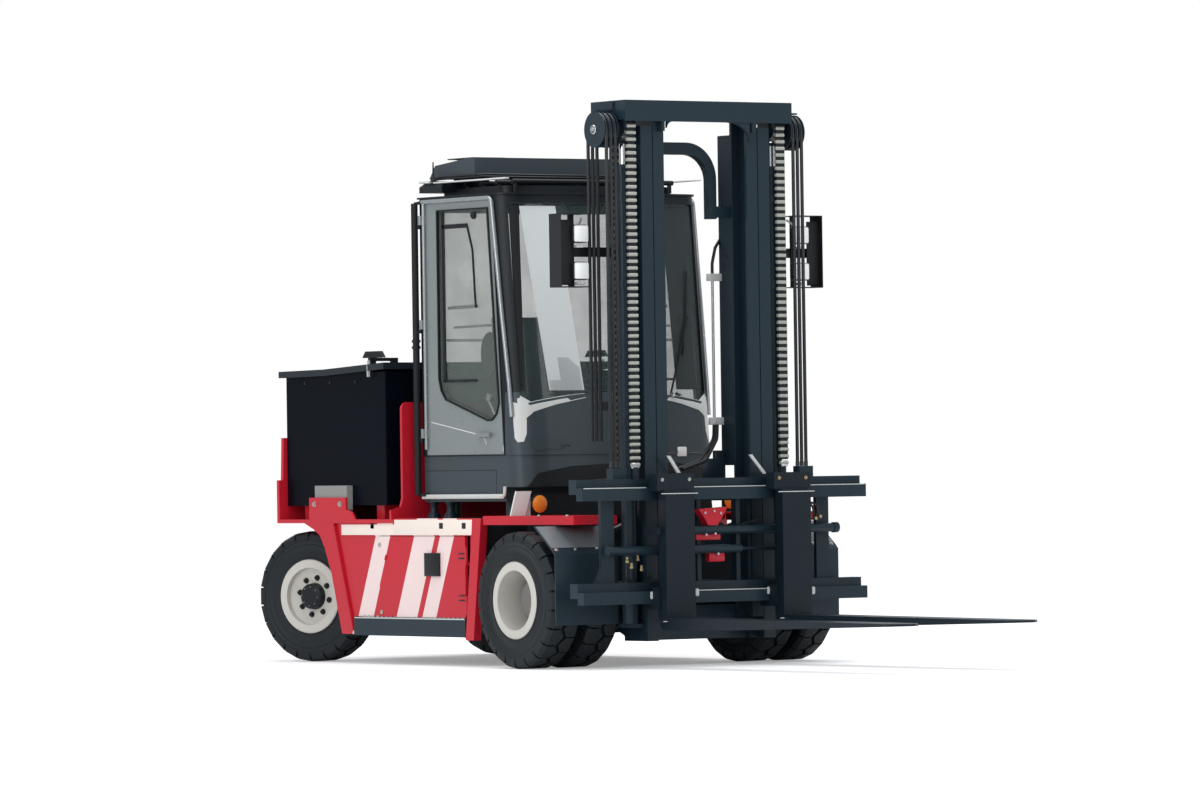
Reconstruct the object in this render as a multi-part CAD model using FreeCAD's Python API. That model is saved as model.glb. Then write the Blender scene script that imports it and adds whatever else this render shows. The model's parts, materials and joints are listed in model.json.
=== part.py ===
"""Electric forklift truck of the eight tonne class: one STEP file for each sub-part.

Axes: +Z up, -Y the way the forks point, +X the truck's left side. The origin is on
the ground, in the middle of the truck's length and width. Inside the script Y is
counted from the front axle, and each piece is moved to the origin when it is written.
Lengths are in millimetres, angles in degrees.
"""
import FreeCAD, Part
import math
import os
from FreeCAD import Vector as V

# ---------------------------------------------------------------- driving sizes
RUN = 0.4               # running gap between a pin or shaft and its bore
SEAT = 0.3              # gap between pieces that rest on each other
CLEAR = 8.0             # air between neighbours that pass each other

# wheels
TYRE_RADIUS = 428.0
TYRE_WIDTH = 226.0
TYRE_SHOULDER = 24.0    # how far the tread's edge is drawn in
BEAD_RADIUS = 200.0     # where the tyre seats on the rim
RIM_WALL = 12.0
FLANGE_RADIUS = 242.0
FLANGE_THICK = 12.0
TWIN_GAP = 70.0         # air between the two tyres of a twin
FRONT_OUTER_X = 986.0   # centre plane of the outer front tyre
REAR_TYRE_INSET = 185.0 # from the body's side face in to the rear tyre's centre plane
WHEELBASE = 2808.0
HUB_RADIUS = 142.0
FRONT_HUB_NOSE = 137.0  # how far the front hub stands out of its disc
DISC_THICK = 16.0
FRONT_SPINDLE_RADIUS = 62.0
REAR_SPINDLE_RADIUS = 36.0
REAR_HUB_RADIUS = 86.0

# steering
KINGPIN_INSET = 125.0   # from the rear tyre's centre plane in to the kingpin
KINGPIN_RADIUS = 24.0
KNUCKLE_RADIUS = 58.0
KNUCKLE_HALF = 78.0     # half height of the knuckle's boss
YOKE_THICK = 34.0
STEER_REST = 20.0       # the rear wheels stand turned by this much
STEER_ARM = 110.0
REAR_AXLE_HALF_DEPTH = 95.0
AXLE_PIVOT_HALF = 106.0

# chassis
BODY_HALF = 960.0       # outer side faces of the red body
BODY_TOP = 938.0
BODY_BOTTOM = 192.0
HULL_INSET = 55.0       # from the body's side face in to the hull
HULL_FRONT = 640.0
HULL_TO_AXLE = 733.0    # from the hull's back to the rear axle
FRAME_HALF = 556.0      # between the front twins
FRAME_FRONT = -250.0
FRAME_BOTTOM = 215.0
TAIL_HALF = 285.0       # between the steered wheels
TAIL_OVERHANG = 165.0   # from the rear axle to the tray's back
COUNTERWEIGHT_LONG = 125.0
COUNTERWEIGHT_BEHIND = 87.0     # how far it stands out behind the tray
TOW_PIN_RADIUS = 16.0
TRAY_TO_CAB = 75.0      # from the cab's back to the tray's front edge
TRAY_THICK = 24.0
TRAY_TOP = 933.0
PLATE = 20.0            # body plate
REAR_POST_THICK = 26.0
REAR_PLATE_THICK = 30.0
REAR_PLATE_STEP_Z = 1192.0
REAR_PLATE_TOP_Z = 1470.0
TALL_PLATE_TO_CAB = 122.0
TALL_PLATE_INSET = 92.0
TALL_PLATE_TOP = 1685.0
TALL_PLATE_BASE = 1008.0
HATCH_FRONT = 765.0
HATCH_TO_HULL_REAR = 310.0
HATCH_TOP = 824.0
HATCH_BOTTOM = 306.0
HATCH_THICK = 22.0
HATCH_HINGES = (350.0, 660.0)
POCKET_DEPTH = 300.0
STRIP_BOTTOM = 826.0
STRIP_THICK = 18.0
STEP_FRONT = 762.0
STEP_TO_HULL_REAR = 17.0
STEP_BOTTOM = 184.0
STEP_TOP = 303.0

# battery
BATTERY_INSET = 60.0    # from the body's side face in to the battery
BATTERY_TO_CAB = 242.0
BATTERY_TO_TAIL = 35.0
BATTERY_BOTTOM = 1023.0
BATTERY_TOP = 1885.0
LID_OVERHANG = 36.0
LID_EDGE = 42.0
LID_RISE = 36.0
LID_HINGES = (-640.0, 560.0)
CLAMP_LONG = 440.0

# front fenders
FENDER_INSET = 10.0
FENDER_TOP = 952.0
FENDER_FRONT = -446.0
FENDER_THICK = 10.0
FENDER_LIP = 56.0
MUD_BOTTOM = 275.0
LAMP_X = 743.0
LAMP_RADIUS = 46.0

# cab
CAB_HALF = 775.0
CAB_REAR = 1500.0
CAB_NOSE_LOW = 350.0    # foremost point of the cab at its waist
CAB_NOSE_HIGH = 508.0   # and under its roof
CAB_CORNER = 130.0      # radius of the front corners in plan
CAB_WAIST = 1333.0
CAB_EAVES = 2985.0
CAB_BASE_BOTTOM = 1042.0
CAB_SKIN = 38.0
GLASS = 8.0
SCREEN_BOTTOM = 1655.0
SCREEN_ARCH = 75.0
DOOR_FRONT_LOW = 560.0
DOOR_FRONT_HIGH = 672.0
DOOR_GAP = 6.0
DOOR_FRAME = 62.0
DOOR_HINGE_Y = 1472.0
DOOR_HINGES = (1450.0, 2150.0, 2820.0)
ROOF_THICK = 62.0
ROOF_LIP = 12.0
ROOF_INSET = 115.0      # the raised middle stands in from the lip by this
ROOF_CAP_LENGTH = 260.0
ROOF_CAP_TOP = 3096.0
AIR_HALF = 690.0
AIR_FRONT = 985.0
AIR_REAR = 1440.0
AIR_BOTTOM = 3116.0
AIR_TOP = 3237.0
FLOOR_THICK = 12.0

# mast
MAST_FACE = -577.0      # front faces of the channels
CHANNEL_DEPTH = 180.0
FLANGE = 22.0
WEB = 18.0
OUTER_HALF = 493.0
OUTER_INNER = 406.0
INNER_HALF = 400.0
INNER_INNER = 318.0
OUTER_FOOT = 165.0
OUTER_TOP = 3370.0
MAST_TIES = ((1030.0, 1170.0),)
GUARD_INNER = 331.0     # the hose guards behind the outer channels
GUARD_BACK = -250.0
GUARD_SPAN = (1250.0, 3330.0)
GUARD_THICK = 12.0
ARCH_LEG = 218.0        # the outer edge of the arched tie's leg
ARCH_BEND = 230.0
ARCH_LOW = 2800.0       # the arched tie's foot and top
ARCH_TOP = 3279.0
INNER_FOOT = 300.0
INNER_TIES = ((700.0, 860.0),)
BEAM_HALF = 641.0
BEAM_FACE = -625.0
BEAM_BACK = -254.0
BEAM_BOTTOM = 3396.0
BEAM_TOP = 3526.0
BEAM_PLATE = 20.0
MAST_PIVOT_Y = -300.0
MAST_PIVOT_Z = 330.0
MAST_PIN_RADIUS = 40.0
CHAIN_X = 572.0
CHAIN_WIDE = 66.0
CHAIN_THICK = 24.0
CHAIN_SEAT_RADIUS = 76.0
SHEAVE_Y = -495.0
SHEAVE_Z = 3388.0
CYLINDER_X = 562.0
CYLINDER_Y = -495.0
BARREL_RADIUS = 50.0
BARREL_BORE = 40.0
BARREL_FOOT = 275.0
BARREL_TOP = 3130.0
ROD_RADIUS = 33.0
ROD_FOOT = 1000.0
PULLEY_RADIUS = 112.0
PULLEY_Y = -475.0
PULLEY_Z = 3345.0
PULLEY_INNER = 664.0
PULLEY_OUTER = 770.0
HOSE_RADIUS = 13.0
HOSE_COUNT = 3
STRAND_END = 1240.0
TAIL_END = 1300.0

# carriage
BAR_HALF = 1090.0
UPPER_REAR = (1083.0, 1174.0)
UPPER_FRONT = (1042.0, 1123.0)
LOWER_REAR = (442.0, 533.0)
LOWER_FRONT = (402.0, 479.0)
REAR_BAR_FACE = -683.0
REAR_BAR_BACK = -602.0
FRONT_BAR_FACE = -748.0
SIDE_PLATE = (777.0, 875.0)
ROLLER_PLATE_X = 292.0
ROLLER_RADIUS = 66.0

# forks
FORK_X = 448.0
FORK_OUT = 500.0        # how far a fork slides outwards from rest, and inwards
FORK_IN = 220.0
FORK_WIDE = 219.0
FORK_THICK = 76.0
FORK_FACE = -881.0
FORK_TIP = -3234.0
FORK_TOP = 314.0
FORK_TIP_THICK = 14.0
HOOK_WIDE = 280.0
HOOK_BACK = 43.0        # the hook plate stands back from the shank's face by this
HOOK_TONGUE = 180.0
HOOK_TOP = 1203.0
HOOK_BOTTOM = 1096.0
POSITIONER_Z = (850.0, 731.0)
POSITIONER_Y = -712.0
POSITIONER_RADIUS = 27.0
POSITIONER_ROD = 13.0

# tilt cylinders
TILT_X = 451.0
TILT_REAR = (330.0, 742.0)      # Y and Z of the eye on the chassis
TILT_FRONT = (-345.0, 905.0)    # and of the eye on the mast
TILT_BARREL_RADIUS = 54.0
TILT_ROD_RADIUS = 24.0
TILT_PIN_RADIUS = 22.0

# ------------------------------------------------------------- worked out sizes
TURNED = math.radians(STEER_REST)
REAR_TYRE_X = BODY_HALF - REAR_TYRE_INSET
KINGPIN_X = REAR_TYRE_X - KINGPIN_INSET
HULL_HALF = BODY_HALF - HULL_INSET
HULL_REAR = WHEELBASE - HULL_TO_AXLE
TAIL_Y = WHEELBASE + TAIL_OVERHANG
COUNTERWEIGHT_REAR = TAIL_Y + COUNTERWEIGHT_BEHIND
COUNTERWEIGHT_FRONT = COUNTERWEIGHT_REAR - COUNTERWEIGHT_LONG
TRAY_FRONT = CAB_REAR + TRAY_TO_CAB
TALL_PLATE_Y = CAB_REAR + TALL_PLATE_TO_CAB
TALL_PLATE_HALF = BODY_HALF - TALL_PLATE_INSET
HATCH_REAR = HULL_REAR - HATCH_TO_HULL_REAR
STEP_REAR = HULL_REAR - STEP_TO_HULL_REAR
BATTERY_HALF = BODY_HALF - BATTERY_INSET
BATTERY_FRONT = CAB_REAR + BATTERY_TO_CAB
BATTERY_REAR = TAIL_Y - BATTERY_TO_TAIL
CLAMP_FRONT = (BATTERY_FRONT + BATTERY_REAR - CLAMP_LONG) / 2.0 + 20
CLAMP_REAR = CLAMP_FRONT + CLAMP_LONG
FENDER_HALF = BODY_HALF - FENDER_INSET
REAR_REACH = (WHEELBASE + TYRE_RADIUS * math.cos(TURNED)
              + (REAR_TYRE_X + TYRE_WIDTH / 2.0 - TYRE_SHOULDER - KINGPIN_X) * math.sin(TURNED))
FRONT_AXLE_Y = -(REAR_REACH + FORK_TIP) / 2.0
AXLE_Z = TYRE_RADIUS
HALF_TYRE = TYRE_WIDTH / 2.0
FRONT_INNER_X = FRONT_OUTER_X - TYRE_WIDTH - TWIN_GAP
TWIN_MIDDLE = (FRONT_OUTER_X + FRONT_INNER_X) / 2.0
MAST_BACK = MAST_FACE + CHANNEL_DEPTH
TRAY_BOTTOM = TRAY_TOP - TRAY_THICK
PIVOT_Z = AXLE_Z + KNUCKLE_HALF + SEAT + YOKE_THICK + 44
LID_HINGE_Y = BATTERY_REAR + 52.0
LID_HINGE_Z = BATTERY_TOP - 22.0
SHEAVE_CHEEK = 10.0
YOKE_BOTTOM = SHEAVE_Z - CHAIN_SEAT_RADIUS - CHAIN_THICK - 30.0


# ------------------------------------------------------------------ small tools
def block(x0, x1, y0, y1, z0, z1):
    """A box between two corners, given in any order."""
    low = V(min(x0, x1), min(y0, y1), min(z0, z1))
    return Part.makeBox(abs(x1 - x0), abs(y1 - y0), abs(z1 - z0), low)


def rod(start, end, radius):
    """A round bar from start to end."""
    start = V(*start)
    way = V(*end) - start
    return Part.makeCylinder(radius, way.Length, start, way)


def pipe(start, end, radius, bore):
    """A tube from start to end, open at both."""
    return rod(start, end, radius).cut(rod(start, end, bore))


def disc_x(x0, x1, y, z, radius):
    return rod((min(x0, x1), y, z), (max(x0, x1), y, z), radius)


def ring_x(x0, x1, y, z, radius, bore):
    return disc_x(x0, x1, y, z, radius).cut(disc_x(x0, x1, y, z, bore))


def slab_x(outline, x0, x1):
    """A plate with its outline in Y and Z, between two X planes."""
    points = [V(min(x0, x1), y, z) for y, z in outline]
    face = Part.Face(Part.makePolygon(points + points[:1]))
    return face.extrude(V(abs(x1 - x0), 0, 0))


def slab_y(outline, y0, y1):
    """A plate with its outline in X and Z, between two Y planes."""
    points = [V(x, min(y0, y1), z) for x, z in outline]
    face = Part.Face(Part.makePolygon(points + points[:1]))
    return face.extrude(V(0, abs(y1 - y0), 0))


def slab_z(outline, z0, z1):
    """A plate with its outline in X and Y, between two levels."""
    points = [V(x, y, min(z0, z1)) for x, y in outline]
    face = Part.Face(Part.makePolygon(points + points[:1]))
    return face.extrude(V(0, 0, abs(z1 - z0)))


def round_edges(shape, radius, chosen):
    """Rounds the edges for which chosen(edge) is true."""
    edges = [e for e in shape.Edges if chosen(e)]
    return shape.makeFillet(radius, edges) if edges else shape


def along(axis):
    """A test for straight edges that run along an axis."""
    way = V(*axis)

    def test(edge):
        if len(edge.Vertexes) != 2:
            return False
        line = edge.Vertexes[1].Point - edge.Vertexes[0].Point
        return line.Length > 1 and abs(line.dot(way)) > 0.999 * line.Length
    return test


def mirrored(shape):
    return shape.mirror(V(0, 0, 0), V(1, 0, 0))


def pair(shape):
    """The same piece on both sides of the truck."""
    return [shape, mirrored(shape)]


def fused(shapes):
    whole = shapes[0].multiFuse(shapes[1:]) if len(shapes) > 1 else shapes[0]
    return whole.removeSplitter()


def revolved_x(outline, y=0.0, z=AXLE_Z):
    """A ring round an axle: the outline holds X and the distance from the axle."""
    points = [V(x, y, z + r) for x, r in outline]
    face = Part.Face(Part.makePolygon(points + points[:1]))
    return face.revolve(V(0, y, z), V(1, 0, 0), 360)


# ----------------------------------------------------------------------- wheels
def tyre(centre):
    """A solid rubber tyre: straight sides, drawn-in shoulders, seated on the rim."""
    half = HALF_TYRE
    seat = half - FLANGE_THICK - SEAT
    lip = FLANGE_RADIUS + 1.0
    side = TYRE_RADIUS - 2.2 * TYRE_SHOULDER
    half_outline = [(seat, BEAD_RADIUS), (seat, lip), (half, lip + 14), (half, side),
                    (half - TYRE_SHOULDER * 0.4, TYRE_RADIUS - TYRE_SHOULDER * 0.7),
                    (half - TYRE_SHOULDER, TYRE_RADIUS)]
    other = [(-x, r) for x, r in reversed(half_outline)]
    return revolved_x([(centre + x, r) for x, r in half_outline + other])


def rim(centre):
    """A flat-base rim: a barrel with a flange at each edge."""
    half = HALF_TYRE - SEAT
    barrel = BEAD_RADIUS - SEAT
    inside = barrel - RIM_WALL
    lip = FLANGE_THICK
    outline = [(half, inside), (half, FLANGE_RADIUS - 6), (half - 4, FLANGE_RADIUS),
               (half - lip + SEAT, FLANGE_RADIUS), (half - lip, barrel),
               (-half + lip, barrel), (-half + lip - SEAT, FLANGE_RADIUS),
               (-half + 4, FLANGE_RADIUS), (-half, FLANGE_RADIUS - 6), (-half, inside)]
    return revolved_x([(centre + x, r) for x, r in outline])


def front_rim():
    """Twin rims bolted back to back on the hub, with the hub's nose in the outer one."""
    barrel_in = BEAD_RADIUS - SEAT - RIM_WALL
    disc = revolved_x([(TWIN_MIDDLE - DISC_THICK, FRONT_SPINDLE_RADIUS + RUN),
                       (TWIN_MIDDLE - DISC_THICK, barrel_in + 4),
                       (TWIN_MIDDLE + DISC_THICK, barrel_in + 4),
                       (TWIN_MIDDLE + DISC_THICK, FRONT_SPINDLE_RADIUS + RUN)])
    spacer = revolved_x([(FRONT_INNER_X, barrel_in), (FRONT_INNER_X, barrel_in + 6),
                         (FRONT_OUTER_X, barrel_in + 6), (FRONT_OUTER_X, barrel_in)])
    nose_end = TWIN_MIDDLE + FRONT_HUB_NOSE
    nose = revolved_x([(TWIN_MIDDLE, FRONT_SPINDLE_RADIUS + RUN), (TWIN_MIDDLE, HUB_RADIUS),
                       (nose_end - 24, HUB_RADIUS - 6), (nose_end, HUB_RADIUS - 34),
                       (nose_end, 0), (nose_end - 30, 0),
                       (nose_end - 30, FRONT_SPINDLE_RADIUS + RUN)])
    return fused([rim(FRONT_OUTER_X), rim(FRONT_INNER_X), disc, spacer, nose])


def rear_rim():
    """A single rim with a dished disc, eight nuts and a hub cap."""
    barrel_in = BEAD_RADIUS - SEAT - RIM_WALL
    face = REAR_TYRE_X + HALF_TYRE
    bore = REAR_SPINDLE_RADIUS + RUN
    disc = revolved_x([(face - 74, bore), (face - 74, 150), (face - 56, barrel_in + 4),
                       (face - 40, barrel_in + 4), (face - 58, 146), (face - 58, bore)])
    cap = revolved_x([(face - 130, bore), (face - 130, REAR_HUB_RADIUS + 10),
                      (face - 60, REAR_HUB_RADIUS + 10), (face - 60, REAR_HUB_RADIUS),
                      (face - 14, REAR_HUB_RADIUS - 4), (face - 2, REAR_HUB_RADIUS - 22),
                      (face - 2, 0), (face - 24, 0), (face - 24, bore)])
    return fused([rim(REAR_TYRE_X), disc, cap])


def steered(shape, side):
    """Puts a rear wheel's piece at the rear axle, turned to the resting steer angle."""
    moved = shape.translated(V(0, WHEELBASE, 0))
    if side < 0:
        moved = mirrored(moved)
    pin = V(side * KINGPIN_X, WHEELBASE, 0)
    return moved.rotated(pin, V(0, 0, 1), STEER_REST)


# ---------------------------------------------------------------------- running gear
def front_axle():
    """Drive axle: a round housing with spindles, the gear case and its mounts."""
    end = TWIN_MIDDLE + FRONT_HUB_NOSE - 34
    shoulder = TWIN_MIDDLE - DISC_THICK - RUN
    half = revolved_x([(0, 0), (0, 128), (150, 128), (230, 104), (shoulder - 40, 104),
                       (shoulder - 40, 96), (shoulder, 96), (shoulder, FRONT_SPINDLE_RADIUS),
                       (end, FRONT_SPINDLE_RADIUS), (end, 0)])
    brake = revolved_x([(FRONT_INNER_X - 20, 60), (FRONT_INNER_X - 20, 168),
                        (shoulder - 8, 168), (shoulder - 8, 60)])
    return fused(pair(fused([half, brake])))


def rear_axle():
    """Steer axle: a box beam with a yoke round each knuckle and a pivot on top."""
    y = WHEELBASE
    z = AXLE_Z
    yoke_low = KNUCKLE_HALF + SEAT
    yoke_high = yoke_low + YOKE_THICK
    reach = KINGPIN_X - KNUCKLE_RADIUS - CLEAR
    outline = [(0, y - REAR_AXLE_HALF_DEPTH), (380, y - REAR_AXLE_HALF_DEPTH), (reach, y - 56),
               (reach, y + 56), (380, y + REAR_AXLE_HALF_DEPTH), (0, y + REAR_AXLE_HALF_DEPTH)]
    half = slab_z(outline, z - yoke_high, z + yoke_high)
    for sign in (-1, 1):
        ear = Part.makeCylinder(56, YOKE_THICK, V(KINGPIN_X, y, z + sign * yoke_low),
                                V(0, 0, sign))
        link = block(reach - 60, KINGPIN_X, y - 52, y + 52, z + sign * yoke_low,
                     z + sign * yoke_high)
        half = half.fuse([ear, link])
    bore = rod((KINGPIN_X, y, z - 2 * yoke_high), (KINGPIN_X, y, z + 2 * yoke_high),
               KINGPIN_RADIUS + RUN)
    half = half.cut(bore)
    slot = block(0, KINGPIN_X + 60, y - 46, y + REAR_AXLE_HALF_DEPTH + 1, z - 66, z + 66)
    half = half.cut(slot)
    barrel = rod((0, y + 20, z), (STEER_BARREL_HALF, y + 20, z), 46)
    barrel = barrel.cut(rod((-1, y + 20, z), (STEER_BARREL_HALF + 1, y + 20, z), 19 + RUN))
    web = block(0, STEER_BARREL_HALF - 40, y - 60, y - 24, z - 30, z + 30)
    reach = AXLE_PIVOT_HALF
    pivot = rod((0, y - reach, z + yoke_high + 44), (0, y + reach, z + yoke_high + 44), 42)
    saddle = block(0, 60, y - 50, y + 50, z + yoke_high - 1, z + yoke_high + 44)
    return fused(pair(fused([half, barrel, web, saddle])) + [pivot])


def knuckle(side):
    """The steering knuckle: kingpin, boss, wheel spindle and steering arm."""
    z = AXLE_Z
    half = KNUCKLE_HALF
    yoke_high = half + SEAT + YOKE_THICK
    boss = rod((KINGPIN_X, 0, z - half), (KINGPIN_X, 0, z + half), KNUCKLE_RADIUS - 4)
    pin = rod((KINGPIN_X, 0, z - yoke_high - 6), (KINGPIN_X, 0, z + yoke_high + 6),
              KINGPIN_RADIUS)
    end = REAR_TYRE_X + HALF_TYRE - 28
    spindle = rod((KINGPIN_X, 0, z), (end, 0, z), REAR_SPINDLE_RADIUS)
    collar = rod((KINGPIN_X, 0, z), (REAR_TYRE_X + HALF_TYRE - 131, 0, z), 56)
    arm = slab_z([(KINGPIN_X - 30, 20), (KINGPIN_X + 16, 30), (KINGPIN_X + 4, STEER_ARM),
                  (KINGPIN_X - 34, STEER_ARM)], z - 14, z + 14)
    eye = rod((KINGPIN_X - 15, STEER_ARM, z - 26), (KINGPIN_X - 15, STEER_ARM, z + 26), 24)
    return steered(fused([boss, pin, spindle, collar, arm, eye]), side)


STEER_BARREL_HALF = 200.0


def steering_rod():
    """The steering cylinder's through rod, with a track link at each end."""
    y = WHEELBASE + 20
    z = AXLE_Z
    shift = -STEER_ARM * math.sin(math.radians(STEER_REST))
    bar = rod((-370 + shift, y, z), (370 + shift, y, z), 19)
    parts = [bar]
    for side in (-1, 1):
        eye = V(side * (KINGPIN_X - 15), WHEELBASE + STEER_ARM, z)
        pin = V(side * KINGPIN_X, WHEELBASE, z)
        turn = FreeCAD.Rotation(V(0, 0, 1), STEER_REST)
        eye = pin + turn.multVec(eye - pin)
        start = V(side * 356 + shift, y, z - 40)
        finish = V(eye.x, eye.y, z - 40)
        link = rod(tuple(start), tuple(finish), 13)
        head = rod((eye.x, eye.y, z - 56), (eye.x, eye.y, z - 26 - RUN), 24)
        fork = rod((start.x, start.y, z - 56), (start.x, start.y, z), 22)
        parts += [link, head, fork]
    return fused(parts)


# ---------------------------------------------------------------------- chassis
def chassis_frame():
    """The welded frame: front box with the mast pins, middle hull and rear spine."""
    cheek = slab_x([(FRAME_FRONT, FRAME_BOTTOM), (HULL_FRONT, FRAME_BOTTOM),
                    (HULL_FRONT, BODY_TOP), (220, BODY_TOP), (FRAME_FRONT, 720)],
                   FRAME_HALF - 34, FRAME_HALF)
    axle_hole = disc_x(0, 1000, 0, AXLE_Z, 104 + SEAT)
    ear = slab_x([(MAST_PIVOT_Y - 62, MAST_PIVOT_Z - 60), (FRAME_FRONT + 30, FRAME_BOTTOM),
                  (FRAME_FRONT + 30, 620), (MAST_PIVOT_Y - 62, MAST_PIVOT_Z + 60)],
                 FRAME_HALF - 34, FRAME_HALF)
    pin = disc_x(OUTER_INNER + 8, FRAME_HALF, MAST_PIVOT_Y, MAST_PIVOT_Z, MAST_PIN_RADIUS)
    cheeks = pair(fused([cheek, ear]).cut(axle_hole).fuse(pin))
    floor = block(-FRAME_HALF, FRAME_HALF, FRAME_FRONT + 40, HULL_FRONT, FRAME_BOTTOM,
                  FRAME_BOTTOM + PLATE)
    deck = block(-FRAME_HALF, FRAME_HALF, 470, HULL_FRONT, BODY_TOP - PLATE, BODY_TOP)
    hull = block(-HULL_HALF, HULL_HALF, HULL_FRONT, HULL_REAR, BODY_BOTTOM + 20, BODY_TOP)
    hull = hull.cut(block(-BODY_HALF, BODY_HALF, TRAY_FRONT - SEAT, HULL_REAR + 1,
                          TRAY_BOTTOM - SEAT, BODY_TOP + 1))
    for x in (1, -1):
        hull = hull.cut(block(x * (HULL_HALF - POCKET_DEPTH), x * HULL_HALF, HATCH_FRONT + 30,
                              HATCH_REAR - 30, HATCH_BOTTOM + 30, HATCH_TOP - 30))
    spine = block(-TAIL_HALF, TAIL_HALF, HULL_REAR, COUNTERWEIGHT_FRONT - SEAT, 640,
                  TRAY_BOTTOM - SEAT)
    cradle = rod((0, WHEELBASE - 200, PIVOT_Z), (0, WHEELBASE + 200, PIVOT_Z), 42 + SEAT)
    lugs = [block(-95, 95, WHEELBASE + sign * (AXLE_PIVOT_HALF - 46),
                  WHEELBASE + sign * (AXLE_PIVOT_HALF - 16), PIVOT_Z - 38, 641)
            for sign in (-1, 1)]
    spine = fused([spine] + lugs).cut(cradle)
    tilt_lugs = []
    ty, tz = TILT_REAR
    for x in (TILT_X - 48, TILT_X + 30):
        lug = slab_x([(ty - 50, tz - 40), (ty + 50, tz - 60), (HULL_FRONT, tz - 200),
                      (HULL_FRONT, tz + 90), (ty + 40, tz + 50), (ty - 50, tz + 40)], x, x + 18)
        tilt_lugs.append(lug)
    tilt_pin = disc_x(TILT_X - 48, TILT_X + 48, ty, tz, TILT_PIN_RADIUS)
    tilt_side = pair(fused(tilt_lugs + [tilt_pin]))
    return fused(cheeks + [floor, deck, hull, spine] + tilt_side)


def body_sides():
    """Red outer body: front post and arch, slanted rear post, sill and cream strip."""
    outer = BODY_HALF
    inner = HULL_HALF + SEAT
    front_post = slab_x([(568, BODY_TOP), (668, BODY_BOTTOM - 26), (668 + 91, BODY_BOTTOM - 26),
                         (666, BODY_TOP)], inner, outer)
    high = TRAY_BOTTOM - SEAT
    foot = HULL_REAR - STEP_TO_HULL_REAR + 5
    rear_post = slab_x([(foot + 229, high), (foot, BODY_BOTTOM), (foot + 139, BODY_BOTTOM),
                        (foot + 256, high - 332), (foot + 334, high - 161), (foot + 393, high - 80),
                        (foot + 468, high - 40), (foot + 578, high)],
                       outer - REAR_POST_THICK, outer)
    rear_back = slab_x([(foot, high), (foot, BODY_BOTTOM), (foot + 28, BODY_BOTTOM),
                        (foot + 257, high)], inner, outer - REAR_POST_THICK)
    panel = slab_x([(HATCH_REAR + 6, STEP_TOP + 3), (foot + 28, STEP_TOP + 3),
                    (foot + 199, high), (HATCH_REAR + 6, high)], inner, outer - 18)
    filler = slab_x([(730, STEP_TOP + 3), (HATCH_FRONT - 14, STEP_TOP + 3),
                     (HATCH_FRONT - 14, STRIP_BOTTOM + 4), (670, STRIP_BOTTOM + 4)],
                    inner, outer - 40)
    strip = block(inner, outer - 4, 662, TRAY_FRONT - 6, STRIP_BOTTOM + 2, BODY_TOP)
    under = block(inner, outer - 10, TRAY_FRONT - 6, foot + 167, STRIP_BOTTOM + 2, high)
    pins = []
    for z in HATCH_HINGES:
        px = outer - 12
        pins.append(rod((px, HATCH_FRONT - 8, z - 20), (px, HATCH_FRONT - 8, z + 90), 6))
        pins.append(block(inner, px + 8, HATCH_FRONT - 16, HATCH_FRONT, z - 20, z - RUN))
    return [s for side in [fused(pins + [front_post, rear_post, rear_back, panel, filler, strip, under])]
            for s in pair(side)]


def battery_tray():
    """The tray with its tall front plate, stepped rear stop and the clamp brackets."""
    z = TRAY_BOTTOM
    top = z + TRAY_THICK
    floor = block(-BODY_HALF, BODY_HALF, TRAY_FRONT, TAIL_Y, z, top)
    rear = slab_y([(-BODY_HALF, z), (BODY_HALF, z), (BODY_HALF, REAR_PLATE_STEP_Z),
                   (BODY_HALF - 32, REAR_PLATE_STEP_Z), (BODY_HALF - 40, REAR_PLATE_TOP_Z),
                   (-BODY_HALF + 40, REAR_PLATE_TOP_Z), (-BODY_HALF + 32, REAR_PLATE_STEP_Z),
                   (-BODY_HALF, REAR_PLATE_STEP_Z)], TAIL_Y - REAR_PLATE_THICK, TAIL_Y)
    half = TALL_PLATE_HALF
    tall = slab_y([(-BODY_HALF, z), (BODY_HALF, z), (BODY_HALF, TALL_PLATE_BASE - 18),
                   (half + 14, TALL_PLATE_BASE + 6), (half, TALL_PLATE_BASE + 60),
                   (half, TALL_PLATE_TOP), (-half, TALL_PLATE_TOP),
                   (-half, TALL_PLATE_BASE + 60), (-half - 14, TALL_PLATE_BASE + 6),
                   (-BODY_HALF, TALL_PLATE_BASE - 18)], TALL_PLATE_Y - 22, TALL_PLATE_Y)
    tall = round_edges(tall, 46, lambda e: along((0, 1, 0))(e)
                       and e.BoundBox.ZMin > TALL_PLATE_TOP - 1)
    beds = [block(-BATTERY_HALF + 60, BATTERY_HALF - 60, y, y + 90, top, BATTERY_BOTTOM - SEAT)
            for y in (BATTERY_FRONT + 120, BATTERY_REAR - 210)]
    clamps = []
    for shape in pair(slab_x([(CLAMP_FRONT - 110, top), (CLAMP_REAR, top),
                              (CLAMP_REAR, top + 142), (CLAMP_FRONT, top + 142),
                              (CLAMP_FRONT, top + 64), (CLAMP_FRONT - 70, top + 50)],
                             BODY_HALF - 14, BODY_HALF)):
        clamps.append(shape)
    for shape in pair(block(BATTERY_HALF + SEAT, BODY_HALF - 14 + 1, CLAMP_FRONT + 30,
                            CLAMP_REAR - 30, top, top + 60)):
        clamps.append(shape)
    return fused([floor, rear, tall] + beds + clamps)


def battery_clamps():
    """Grey plates that press on the battery above their brackets."""
    top = TRAY_BOTTOM + TRAY_THICK
    plate = block(BATTERY_HALF + SEAT, BODY_HALF - 14 - SEAT, CLAMP_FRONT + 6, CLAMP_REAR - 50,
                  top + 61, top + 142 + 78)
    return pair(plate)


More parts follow.
